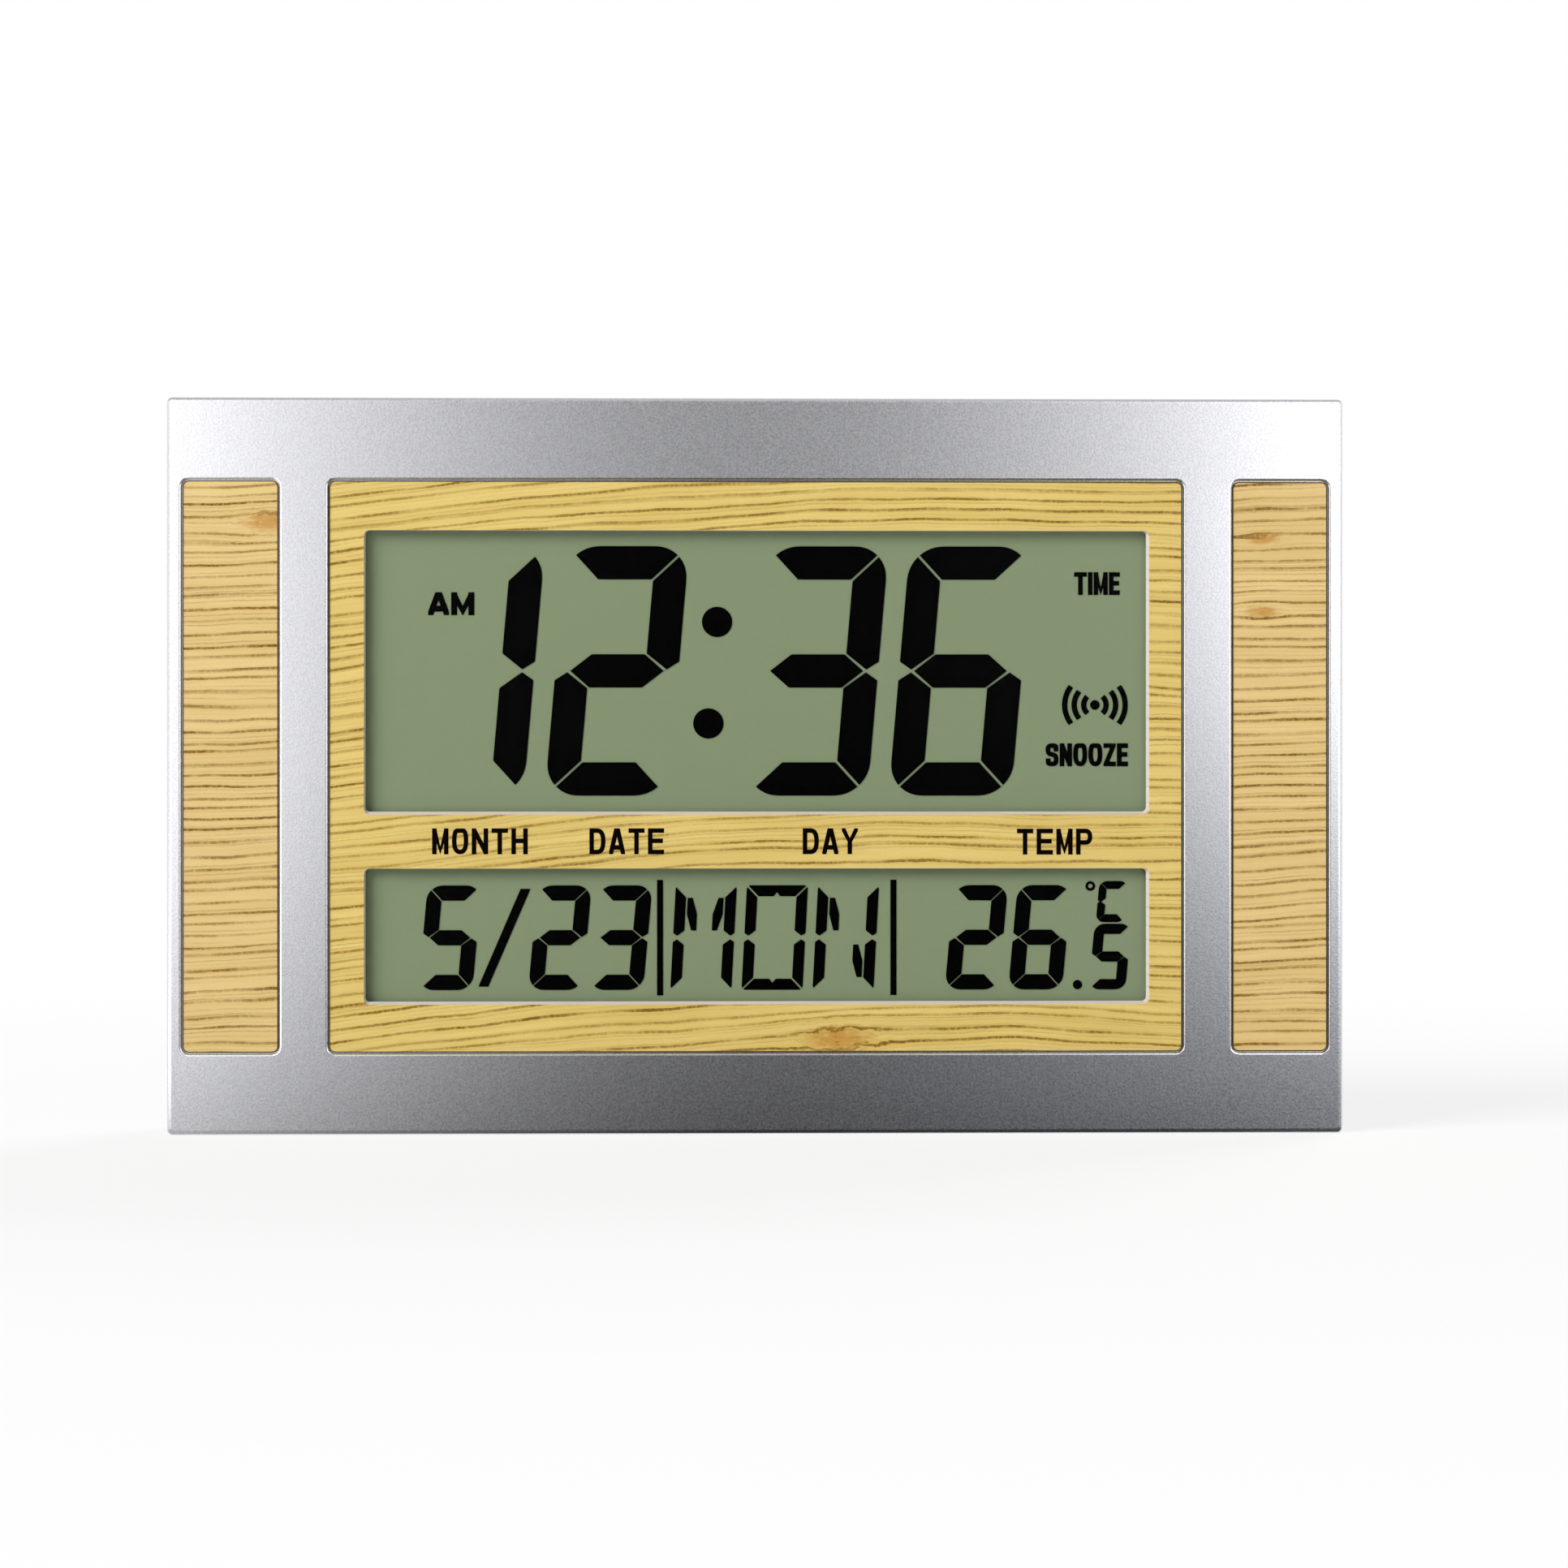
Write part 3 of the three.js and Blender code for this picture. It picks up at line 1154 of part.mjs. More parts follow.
// A contact plate against an end wall, with a soldering tab when it has a lead
function contactPlate(left, base, top, tabAt) {
  const half = CONTACT_WIDTH / 2;
  const plate = box(left, left + CONTACT_THICKNESS, cellDepth - half, cellDepth + half, base, top);
  if (tabAt === undefined) return plate;
  const tab = box(
    left, left + CONTACT_THICKNESS + CONTACT_TAB_LENGTH, tabFront, tabFront + CONTACT_THICKNESS,
    tabAt - tabHalf, tabAt + tabHalf,
  );
  return join(plate, tab);
}

// A screw with its head towards the back, its bearing face at depth zero
function screw(shankRadius, length, headRadius, headHeight) {
  const profile = [
    [0, -length], [shankRadius, shankRadius - length], [shankRadius, 0], [headRadius, 0],
    [headRadius, headHeight * HEAD_SIDE], [headRadius * HEAD_CROWN, headHeight], [0, headHeight],
  ];
  return solid(turned(profile, SCREW_SIDES));
}

// A screw for a board that is fastened from the front: its head points forwards
function forwardScrew(shankRadius, length, headRadius, headHeight) {
  const profile = [
    [0, -headHeight], [headRadius * HEAD_CROWN, -headHeight], [headRadius, -headHeight * HEAD_SIDE],
    [headRadius, 0], [shankRadius, 0], [shankRadius, length - shankRadius], [0, length],
  ];
  return solid(turned(profile, SCREW_SIDES));
}

function button() {
  const rise = troughFloor + KEY_PROUD - flangeFront;
  const profile = [
    [0, 0], [KEY_FLANGE_RADIUS, 0], [KEY_FLANGE_RADIUS, KEY_FLANGE_THICKNESS],
    [KEY_RADIUS, KEY_FLANGE_THICKNESS], [KEY_RADIUS, rise - KEY_EDGE],
    [KEY_RADIUS - KEY_EDGE, rise - KEY_CROWN], [0, rise],
  ];
  return solid(turned(profile, ROUND_SIDES));
}

function rubberMat() {
  const half = keyPostX - KEY_POST_RADIUS - MAT_GAP;
  const base = keyRow - MAT_HEIGHT / 2;
  const sheet = box(keyCentre - half, keyCentre + half, keyBoardBack, matBack, base, base + MAT_HEIGHT);
  const domes = keyPlaces.map((x) => {
    const profile = [
      [0, matBack - JOIN_OVERLAP], [DOME_RADIUS, matBack - JOIN_OVERLAP], [DOME_RADIUS, matBack],
      [DOME_TOP_RADIUS, domeTop], [0, domeTop],
    ];
    return solid(turned(profile, SCREW_SIDES).translate(x, -clockDepth / 2, keyRow));
  });
  return join(sheet, ...domes);
}

function keyBoard() {
  const left = keyCentre - keyBoardHalf;
  const base = keyRow - KEY_BOARD_HEIGHT / 2;
  const plate = box(
    left, left + 2 * keyBoardHalf, keyBoardFront, keyBoardBack, base, base + KEY_BOARD_HEIGHT,
  );
  const hole = SMALL_SCREW_RADIUS + SCREW_GAP;
  const holes = keyPosts.map(([x, z]) => {
    return peg(x, z, hole, keyBoardFront - CUT_OVERRUN, keyBoardBack + CUT_OVERRUN, SCREW_SIDES);
  });
  return cut(plate, ...holes);
}

function buzzerDisc() {
  const front = buzzerBack - BUZZER_PLATE - CERAMIC_THICKNESS;
  const profile = [
    [0, front], [CERAMIC_RADIUS, front], [CERAMIC_RADIUS, front + CERAMIC_THICKNESS],
    [BUZZER_RADIUS, front + CERAMIC_THICKNESS], [BUZZER_RADIUS, buzzerBack], [0, buzzerBack],
  ];
  return solid(turned(profile, 2 * ROUND_SIDES).translate(keyCentre, -clockDepth / 2, BUZZER_HEIGHT));
}

// The flat ribbon from the button board down to the main board, as a bent strip
function keyRibbon() {
  const landing = boardBack + LEAD_GAP + RIBBON_THICKNESS / 2;
  const startZ = keyRow - KEY_BOARD_HEIGHT / 2 - LEAD_GAP;
  const startDepth = (keyBoardFront + keyBoardBack) / 2;
  const path = new THREE.CubicBezierCurve(
    new THREE.Vector2(startDepth, startZ),
    new THREE.Vector2(startDepth, (startZ + boardTop) / 2),
    new THREE.Vector2(landing, boardTop + RIBBON_LANDING),
    new THREE.Vector2(landing, boardTop - RIBBON_LANDING),
  );
  const points = path.getPoints(RIBBON_STEPS);
  const sideOf = (sign) => points.map((p, i) => {
    const along = path.getTangent(i / (points.length - 1));
    const offset = (sign * RIBBON_THICKNESS) / 2;
    return new THREE.Vector2(p.x - along.y * offset, p.y + along.x * offset);
  });
  const strip = new THREE.Shape([...sideOf(1), ...sideOf(-1).reverse()]);
  const geometry = new THREE.ExtrudeGeometry(strip, { depth: RIBBON_WIDTH, bevelEnabled: false });
  const turnedToX = new THREE.Matrix4().set(0, 0, 1, 0, 1, 0, 0, 0, 0, 1, 0, 0, 0, 0, 0, 1);
  geometry.applyMatrix4(turnedToX);
  return solid(geometry.translate(keyCentre + RIBBON_OFFSET - RIBBON_WIDTH / 2, -clockDepth / 2, 0));
}

function lead(points) {
  return wire(new THREE.CatmullRomCurve3(points), LEAD_RADIUS, LEAD_STEPS, LEAD_SIDES);
}

// Leads end just clear of the board
const landingDepth = boardBack + LEAD_GAP;

function batteryLead(cellZ, landingX, spread) {
  const tabEnd = boxRight + CONTACT_TAB_LENGTH + LEAD_GAP;
  const besideBox = tabEnd + LEAD_BEND + spread;
  const landingZ = boardTop - BATTERY_LANDING_DROP + spread;
  const curl = LEAD_BEND + LEAD_SAG;
  return lead([
    at(tabEnd, cellDepth, cellZ),
    at(besideBox, cellDepth, cellZ - LEAD_SAG),
    at(besideBox + LEAD_SAG, cellDepth - LEAD_BEND + spread, boxBase - 2 * LEAD_SAG + spread),
    at(boardHalf + 2 * LEAD_BEND, landingDepth + curl, landingZ + curl),
    at(landingX, landingDepth + LEAD_BEND, landingZ + LEAD_SAG),
    at(landingX, landingDepth, landingZ),
  ]);
}

function buzzerLead(offset) {
  const startDepth = buzzerBack - BUZZER_PLATE - CERAMIC_THICKNESS - LEAD_GAP;
  const startX = keyCentre + offset;
  const endX = offset - boardHalf + BUZZER_LANDING_INSET;
  const endZ = BUZZER_HEIGHT + BUZZER_LANDING_RISE;
  return lead([
    at(startX, startDepth, BUZZER_HEIGHT),
    at(startX, startDepth - LEAD_BEND, BUZZER_HEIGHT + LEAD_SAG),
    at((startX + endX) / 2, (startDepth + landingDepth) / 2, BUZZER_HEIGHT + 2 * LEAD_BEND),
    at(endX, landingDepth + LEAD_BEND, endZ),
    at(endX, landingDepth, endZ + LEAD_SAG / 2),
  ]);
}

// Front
add('front_frame', frontFrame(), silverPaint);
add('left_panel', panel(pockets.left), woodPrint);
add('right_panel', panel(pockets.right), woodPrint);
const windowCuts = Object.values(windows).map(bevelledOpening);
add('centre_panel', cut(panel(pockets.centre), ...windowCuts), woodPrint);
add('time_window', lens(windows.time), clearPlastic);
add('calendar_window', lens(windows.calendar), clearPlastic);

// Displays
add('time_lcd', displayGlassBody(glasses.time, false, timeMarks()), displayGlass);
add('calendar_lcd', displayGlassBody(glasses.calendar, true, calendarMarks()), displayGlass);
add('display_holder', displayHolder(), whitePlastic);
for (const [name, { base, top }] of Object.entries(connectors)) {
  const block = box(-connectorHalf, connectorHalf, glassMiddle, boardFront, base, top);
  add(`${name}_connector`, block, stripedRubber);
}

// Electronics
add('main_board', mainBoard(), boardGreen);
const electronics = new THREE.Group();
electronics.position.copy(at(0, boardBack, boardCentre));
clock.add(electronics);
const dome = arc(0, 0, 1, 0, 90, EDGE_STEPS).map((p) => [p.x * CHIP_RADIUS, p.y * CHIP_HEIGHT]);
const chipProfile = [[0, 0], ...dome];
add('chip_cover', solid(turned(chipProfile, ROUND_SIDES)), blackResin, electronics);
const crystalShape = new THREE.CylinderGeometry(CRYSTAL_RADIUS, CRYSTAL_RADIUS, CRYSTAL_LENGTH, SCREW_SIDES);
const crystal = add('quartz_crystal', solid(crystalShape.rotateZ(Math.PI / 2)), tinPlate, electronics);
crystal.position.set(2 * CHIP_RADIUS, CRYSTAL_RADIUS + SCREW_GAP / 2, CHIP_RADIUS);
const canProfile = [
  [0, 0], [CAPACITOR_RADIUS, 0], [CAPACITOR_RADIUS, CAPACITOR_HEIGHT], [0, CAPACITOR_HEIGHT],
];
const capacitor = add('capacitor', solid(turned(canProfile, SCREW_SIDES)), blackResin, electronics);
capacitor.position.set(2 * CHIP_RADIUS + CRYSTAL_LENGTH + CAPACITOR_RADIUS, 0, -CHIP_RADIUS);
const beadProfile = [
  [0, 0], [SENSOR_BEAD / 2, 0], [SENSOR_BEAD / 2, SENSOR_HEIGHT - SENSOR_BEAD], [SENSOR_BEAD, SENSOR_HEIGHT],
  [SENSOR_BEAD / 2, SENSOR_HEIGHT + SENSOR_BEAD], [0, SENSOR_HEIGHT + SENSOR_BEAD],
];
const sensor = add('temperature_sensor', solid(turned(beadProfile, SCREW_SIDES)), blackResin, electronics);
sensor.position.set(boardHalf - 2 * BOARD_SCREW_INSET, 0, 0);

// Back cover, stand and battery door
add('back_cover', backCover(), greyPlastic);
add('stand', standLeg(), greyPlastic);
add('battery_door', batteryDoor(), greyPlastic);

// Cells, contacts and springs; the lower cell points right and the upper one left
const lowerMesh = add('battery_lower', cell(), cellSleeve);
lowerMesh.position.copy(at(boxLeft + CONTACT_THICKNESS + SPRING_ROOM, cellDepth, lowerCell));
const upperMesh = add('battery_upper', cell(), cellSleeve);
upperMesh.position.copy(at(boxRight - CONTACT_THICKNESS - SPRING_ROOM, cellDepth, upperCell));
upperMesh.rotation.z = Math.PI;
const plateHalf = CONTACT_WIDTH / 2;
const rightPlate = boxRight - CONTACT_THICKNESS;
add('battery_link_plate', contactPlate(boxLeft, lowerCell - plateHalf, upperCell + plateHalf), tinPlate);
for (const [pole, z] of [['positive', lowerCell], ['negative', upperCell]]) {
  add(`battery_${pole}_plate`, contactPlate(rightPlate, z - plateHalf, z + plateHalf, z), tinPlate);
}
const lowerSpring = add('battery_spring_lower', contactSpring(), tinPlate);
lowerSpring.position.copy(at(boxLeft + CONTACT_THICKNESS, cellDepth, lowerCell));
const upperSpring = add('battery_spring_upper', contactSpring(), tinPlate);
upperSpring.position.copy(at(rightPlate, cellDepth, upperCell));
upperSpring.rotation.z = Math.PI;
console.log(`least gap between turns of a contact spring: ${springGap().toFixed(2)} mm`);

// Buttons
KEY_NAMES.forEach((name, place) => {
  const mesh = add(`${name}_button`, button(), greyRubber);
  mesh.position.copy(at(keyPlaces[place], flangeFront, keyRow));
});
add('rubber_keypad', rubberMat(), greyRubber);
add('key_board', keyBoard(), boardGreen);
add('key_ribbon', keyRibbon(), whitePlastic);

// Buzzer and leads
add('buzzer', buzzerDisc(), brassPlate);
add('buzzer_lead_red', buzzerLead(-CERAMIC_RADIUS / 2), redSleeve);
add('buzzer_lead_black', buzzerLead(CERAMIC_RADIUS / 2), blackSleeve);
const redLanding = boardHalf - BATTERY_LANDING_INSET;
add('battery_lead_red', batteryLead(lowerCell, redLanding, 0), redSleeve);
const blackLanding = redLanding - BATTERY_LANDING_PITCH;
add('battery_lead_black', batteryLead(upperCell, blackLanding, LEAD_SPREAD), blackSleeve);

// Screws
function addScrews(name, places, depth, makeScrew) {
  places.forEach(([x, z], place) => {
    const mesh = add(`${name}_${place + 1}`, makeScrew(), tinPlate);
    mesh.position.copy(at(x, depth, z));
  });
}

addScrews('case_screw', casePosts, screwSeat, () => {
  return screw(CASE_SCREW_RADIUS, CASE_SCREW_LENGTH, CASE_HEAD_RADIUS, CASE_HEAD_HEIGHT);
});
addScrews('holder_screw', holderPosts, holderBack, () => {
  return screw(SMALL_SCREW_RADIUS, HOLDER_SCREW_LENGTH, SMALL_HEAD_RADIUS, SMALL_HEAD_HEIGHT);
});
addScrews('board_screw', boardScrews, boardBack, () => {
  return screw(SMALL_SCREW_RADIUS, BOARD_SCREW_LENGTH, SMALL_HEAD_RADIUS, SMALL_HEAD_HEIGHT);
});
addScrews('key_board_screw', keyPosts, keyBoardFront, () => {
  return forwardScrew(SMALL_SCREW_RADIUS, KEY_SCREW_LENGTH, SMALL_HEAD_RADIUS, SMALL_HEAD_HEIGHT);
});

export default clock;
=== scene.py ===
# %% [markdown]
# # A wide digital clock
# This lesson dresses a desk clock: a silver-painted frame, three wood-print panels, two displays
# behind clear windows, and a grey back with a fold-out stand. The solid model arrives as a fixed
# frame in metres, so every piece made here is placed from the boxes of that frame.

# %% Load the frame
import json
import math

import bmesh
import bpy
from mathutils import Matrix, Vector
from mathutils.geometry import delaunay_2d_cdt

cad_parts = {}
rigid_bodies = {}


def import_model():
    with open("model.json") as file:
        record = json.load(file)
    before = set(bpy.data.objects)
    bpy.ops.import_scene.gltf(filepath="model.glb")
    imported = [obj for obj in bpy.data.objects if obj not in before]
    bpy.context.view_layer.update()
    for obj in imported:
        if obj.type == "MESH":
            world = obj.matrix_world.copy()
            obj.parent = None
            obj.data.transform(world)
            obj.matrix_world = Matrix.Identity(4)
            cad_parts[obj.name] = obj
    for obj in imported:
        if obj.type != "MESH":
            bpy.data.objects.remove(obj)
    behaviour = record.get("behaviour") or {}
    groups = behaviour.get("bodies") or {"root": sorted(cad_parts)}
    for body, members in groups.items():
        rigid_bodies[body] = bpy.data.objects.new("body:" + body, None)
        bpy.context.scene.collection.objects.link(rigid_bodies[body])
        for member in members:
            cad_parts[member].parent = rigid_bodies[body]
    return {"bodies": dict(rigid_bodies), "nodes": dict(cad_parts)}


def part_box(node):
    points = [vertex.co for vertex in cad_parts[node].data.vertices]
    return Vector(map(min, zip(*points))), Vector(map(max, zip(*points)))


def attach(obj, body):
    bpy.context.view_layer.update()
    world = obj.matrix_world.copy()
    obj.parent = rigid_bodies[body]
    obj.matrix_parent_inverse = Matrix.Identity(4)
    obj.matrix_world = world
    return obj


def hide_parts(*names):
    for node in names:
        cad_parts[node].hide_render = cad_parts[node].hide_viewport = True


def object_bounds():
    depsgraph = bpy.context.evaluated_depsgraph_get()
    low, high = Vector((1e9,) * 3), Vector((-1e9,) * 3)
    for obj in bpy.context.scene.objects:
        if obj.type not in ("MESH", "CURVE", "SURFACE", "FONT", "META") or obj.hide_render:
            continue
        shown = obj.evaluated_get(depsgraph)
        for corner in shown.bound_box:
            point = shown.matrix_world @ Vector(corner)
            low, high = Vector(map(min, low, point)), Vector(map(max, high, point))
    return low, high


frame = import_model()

cad_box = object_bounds()
MM = 0.001
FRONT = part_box("front_frame")[0].y


def box_mm(name):
    """The low corner, the high corner and the middle of a solid's box, in millimetres."""
    low, high = (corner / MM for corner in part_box(name))
    return low, high, (low + high) / 2


print("clock box in mm:", [round(v / MM, 1) for corner in cad_box for v in corner])

# %% [markdown]
# ## Camera
# The picture is taken almost square on. Its left edge is a hair taller than its right edge, so the
# camera stands slightly to the left and turns by about one degree. A long lens keeps the edges
# parallel, and a small shift puts the clock a little left of and above the middle.

# %% Camera
VIEW_DISTANCE = 0.9
VIEW_TURN = math.radians(1.3)
PHOTO_SIZE = 1932
FOCAL_PIXELS = 5040
CLOCK_CENTRE_PIXELS = (932.4, 944.0)

camera = bpy.data.objects.new("camera", bpy.data.cameras.new("camera"))
bpy.context.collection.objects.link(camera)
aim = Vector((0, FRONT, (cad_box[0].z + cad_box[1].z) / 2))
camera.location = aim - VIEW_DISTANCE * Vector((math.sin(VIEW_TURN), math.cos(VIEW_TURN), 0))
camera.rotation_euler = (math.radians(90), 0, -VIEW_TURN)
camera.data.lens = FOCAL_PIXELS * camera.data.sensor_width / PHOTO_SIZE
camera.data.shift_x = 0.5 - CLOCK_CENTRE_PIXELS[0] / PHOTO_SIZE
camera.data.shift_y = CLOCK_CENTRE_PIXELS[1] / PHOTO_SIZE - 0.5
bpy.context.scene.camera = camera
bpy.context.scene.view_settings.view_transform = "Standard"
print("lens in mm:", round(camera.data.lens, 1))

# %% [markdown]
# ## Patterns as formulas
# Paint, wood and plastic are drawn by shader nodes. A long chain of math nodes is hard to read,
# so a small class lets a pattern be written as a formula: adding or multiplying two fields adds
# the math node that does it. Places are in millimetres, from the object's own coordinates.


# %% Fields
class Field:
    """One number at every point of a surface."""

    def __init__(self, tree, socket):
        self.tree = tree
        self.socket = socket

    def math(self, operation, *others):
        node = self.tree.nodes.new("ShaderNodeMath")
        node.operation = operation
        for socket, value in zip(node.inputs, (self, *others)):
            plug(self.tree, socket, value)
        return Field(self.tree, node.outputs[0])

    def __add__(self, other):
        return self.math("ADD", other)

    def __sub__(self, other):
        return self.math("SUBTRACT", other)

    def __mul__(self, other):
        return self.math("MULTIPLY", other)

    def __truediv__(self, other):
        return self.math("DIVIDE", other)

    def step(self, low, high, start=0.0, end=1.0):
        """A smooth change from start to end while the field goes from low to high."""
        inputs = {"Value": self, "From Min": low, "From Max": high, "To Min": start, "To Max": end}
        smooth = {"interpolation_type": "SMOOTHSTEP"}
        return add_node(self.tree, "ShaderNodeMapRange", inputs, **smooth)["Result"]


def plug(tree, socket, value):
    """Links a field or sets a plain number or colour."""
    if isinstance(value, Field):
        tree.links.new(value.socket, socket)
    else:
        socket.default_value = value


def add_node(tree, kind, inputs, **settings):
    """Adds a node, sets it up, plugs its inputs by name and returns its outputs by name."""
    node = tree.nodes.new(kind)
    for setting, value in settings.items():
        setattr(node, setting, value)
    sockets = {socket.name: socket for socket in node.inputs if socket.enabled}
    for name, value in inputs.items():
        plug(tree, sockets[name], value)
    return {socket.name: Field(tree, socket) for socket in node.outputs if socket.enabled}


def axes(vector):
    """The x, y and z of a vector field."""
    split = add_node(vector.tree, "ShaderNodeSeparateXYZ", {"Vector": vector})
    return [split[axis] for axis in "XYZ"]


def vector_field(tree, x, y, z):
    """A vector field from its x, y and z."""
    return add_node(tree, "ShaderNodeCombineXYZ", {"X": x, "Y": y, "Z": z})["Vector"]


def colour(red, green, blue):
    """A colour as it is read from a screen, in the linear values that shaders use."""
    shares = (channel / 255 for channel in (red, green, blue))
    return (*(s / 12.92 if s <= 0.04045 else ((s + 0.055) / 1.055) ** 2.4 for s in shares), 1)


class Finish:
    """A material whose pattern is built from fields."""

    def __init__(self, name, base, roughness, metallic=0.0, specular=0.5):
        self.material = bpy.data.materials.new(name)
        self.material.use_nodes = True
        self.material.diffuse_color = base
        self.tree = self.material.node_tree
        self.surface = self.tree.nodes["Principled BSDF"]
        self.use("Base Color", base)
        self.use("Roughness", roughness)
        self.use("Metallic", metallic)
        self.use("Specular IOR Level", specular)
        place = add_node(self.tree, "ShaderNodeTexCoord", {})["Object"]
        inputs = {"Vector": place, "Scale": 1 / MM}
        place_mm = add_node(self.tree, "ShaderNodeVectorMath", inputs, operation="SCALE")["Vector"]
        self.x, self.y, self.z = axes(place_mm)

    def use(self, name, field):
        plug(self.tree, self.surface.inputs[name], field)

    def noise(self, x, y, z, detail=2.0):
        """Soft noise about zero, from about -0.5 to 0.5, over places given in waves."""
        inputs = {"Vector": vector_field(self.tree, x, y, z), "Scale": 1, "Detail": detail}
        return add_node(self.tree, "ShaderNodeTexNoise", inputs)["Fac"] - 0.5

    def random(self, field):
        """A fixed random number from 0 to 1 for each value of a field."""
        inputs = {"W": field}
        return add_node(self.tree, "ShaderNodeTexWhiteNoise", inputs, noise_dimensions="1D")["Value"]

    def blend(self, amount, first, second):
        """A colour that goes from the first to the second as the amount goes from 0 to 1."""
        inputs = {"Factor": amount, "A": first, "B": second}
        return add_node(self.tree, "ShaderNodeMix", inputs, data_type="RGBA")["Result"]

    def cover(self, tone, dark, pale, roughness, height, depth_mm):
        """Sets a colour from dark to pale, the roughness and a bump, and returns the colour."""
        shade = self.blend(tone, dark, pale)
        bump = {"Distance": depth_mm * MM, "Height": height}
        self.use("Base Color", shade)
        self.use("Roughness", roughness)
        self.use("Normal", add_node(self.tree, "ShaderNodeBump", bump)["Normal"])
        return shade


print("pattern helpers ready")

# %% [markdown]
# ## Silver paint
# The frame is moulded plastic under a metallic paint. Up close the paint is a fine grain of flakes
# that face slightly different ways. A metal shader of medium roughness gives the soft gradients,
# and noise at the size of the flakes varies its colour, roughness and slope.

# %% Silver paint
FLAKES_PER_MM = 2.2
FLAKE_DEPTH = 0.016
FLAKE_SHADES = (colour(222, 222, 226), colour(234, 234, 238))

silver = Finish("silver_paint", colour(228, 228, 231), roughness=0.34, metallic=1.0)
flakes = silver.noise(*(axis * FLAKES_PER_MM for axis in (silver.x, silver.y, silver.z)), detail=4)
glints = flakes.step(-0.16, 0.16)
silver.cover(glints, *FLAKE_SHADES, flakes * 0.2 + 0.28, flakes, FLAKE_DEPTH)
print("silver paint:", len(silver.tree.nodes), "nodes")

# %% [markdown]
# ## Wood print
# The panels carry a printed softwood grain: thin dark lines about two and a half millimetres apart
# that run level, waver, fade in and out, and bend round a few small knots. The lines are drawn as
# levels of one height field. Each level has its own random strength, so no two lines look alike.

# %% Wood print
LINE_PITCH = 2.55
LINE_WIDTH = 0.27
FINE_PITCH = 0.95
FINE_WIDTH = LINE_WIDTH * 0.6
LINE_CORE = 0.55
LINE_END = 1.3
GLOW_REACH = 4
KNOT_STRETCH = 2.4
KNOT_PULL = 0.65
KNOT_BROWN = colour(184, 124, 26)
GRAIN_RISE = 0.03
GRAIN_DEPTH = 0.12
ARCH_MIDDLE = 20
# Sizes of soft changes along and across the grain, in millimetres. A sway has a height too.
SWAYS = [(60, 26, 5), (13, 7, 0.7), (1.2, 0.9, 0.34)]
TONE = (45, 3.5)
STREAK = (5, 0.8)
DUST = (0.5, 0.35)
RAGGED = (3, 1.5)
SMEARED = (2.5, 0.7)
FADE_LENGTH = 14
GRIT_LENGTH = 0.8


def wood_print(name, light, dark, halo, line, seed, arch, knots):
    """A wood finish; arch bends the grain, and knots are (x, z, radius) in millimetres."""
    wood = Finish(name, light, roughness=0.5, specular=0.35)
    x = wood.x + seed
    from_middle = wood.x - ARCH_MIDDLE
    z = wood.z - wood.x * GRAIN_RISE + from_middle * from_middle * arch

    def cloud(size, height=z):
        return wood.noise(x / size[0], seed, height / size[1])

    level = z
    for *size, height in SWAYS:
        level = level + cloud(size) * height
    heart = wood.x * 0
    for knot_x, knot_z, radius in knots:
        across = (wood.x - knot_x) / (radius * KNOT_STRETCH)
        up = (wood.z - knot_z) / radius
        near = (across * across + up * up).math("MULTIPLY", -1).math("EXPONENT")
        level = level - near * up * radius * KNOT_PULL + near * cloud(RAGGED) * radius
        heart = heart + near

    def lines(pitch, width, strength_low, strength_high):
        """The dark lines that stand pitch apart, and the soft glow beside them."""
        row = level / pitch
        index = row.math("FLOOR")
        drift = wood.random(index + seed) - 0.5
        distance = (row.math("FRACT") - 0.5 - drift * 0.5).math("ABSOLUTE") * pitch
        body = distance.step(width * LINE_CORE, width * LINE_END, 1, 0)
        glow = distance.step(0, width * GLOW_REACH, 1, 0)
        strength = wood.random(index * 1.7 + seed + 5).step(0, 1, strength_low, strength_high)
        fade = wood.noise(x / FADE_LENGTH, index * 3.1, seed).step(-0.2, 0.14, 0.35, 1)
        grit = wood.noise(x / GRIT_LENGTH, index * 7.3, seed).step(-0.25, 0.1, 0.5, 1)
        shown = strength * fade
        return body * shown * grit, glow * shown

    soft = cloud(STREAK).step(-0.3, 0.35)
    dust = cloud(DUST).step(-0.3, 0.3)
    main, glow = lines(LINE_PITCH, LINE_WIDTH, 0.65, 1.0)
    fine, _ = lines(FINE_PITCH, FINE_WIDTH, 0.0, 0.6)
    smear = heart + heart * cloud(SMEARED) * 1.2
    base = wood.blend(cloud(TONE, level).step(-0.25, 0.25), light, dark)
    base = wood.blend(soft * 0.3 + dust * 0.35, base, dark)
    base = wood.blend(glow * 0.5, base, halo)
    base = wood.blend(fine * 0.6, base, line)
    base = wood.blend(smear.step(0.35, 1.0, 0, 0.7), base, KNOT_BROWN)
    carved = main * -1.0 + soft * 0.15
    return wood, wood.cover(main * 0.95, base, line, main * 0.15 + 0.48, carved, GRAIN_DEPTH)


side_wood, side_colour = wood_print(
    "wood_print_side", light=colour(232, 203, 139), dark=colour(217, 186, 119),
    halo=colour(206, 163, 58), line=colour(108, 72, 0), seed=3.0, arch=0.0,
    knots=[(-107.0, 134.8, 3.4), (111.7, 131.4, 2.0), (111.7, 115.0, 2.0)],
)
centre_wood, centre_colour = wood_print(
    "wood_print_centre", light=colour(232, 206, 123), dark=colour(216, 188, 104),
    halo=colour(206, 165, 40), line=colour(116, 80, 0), seed=41.0, arch=0.0005,
    knots=[(18.0, 20.9, 4.2)],
)
print("wood prints:", len(side_wood.tree.nodes), "and", len(centre_wood.tree.nodes), "nodes")

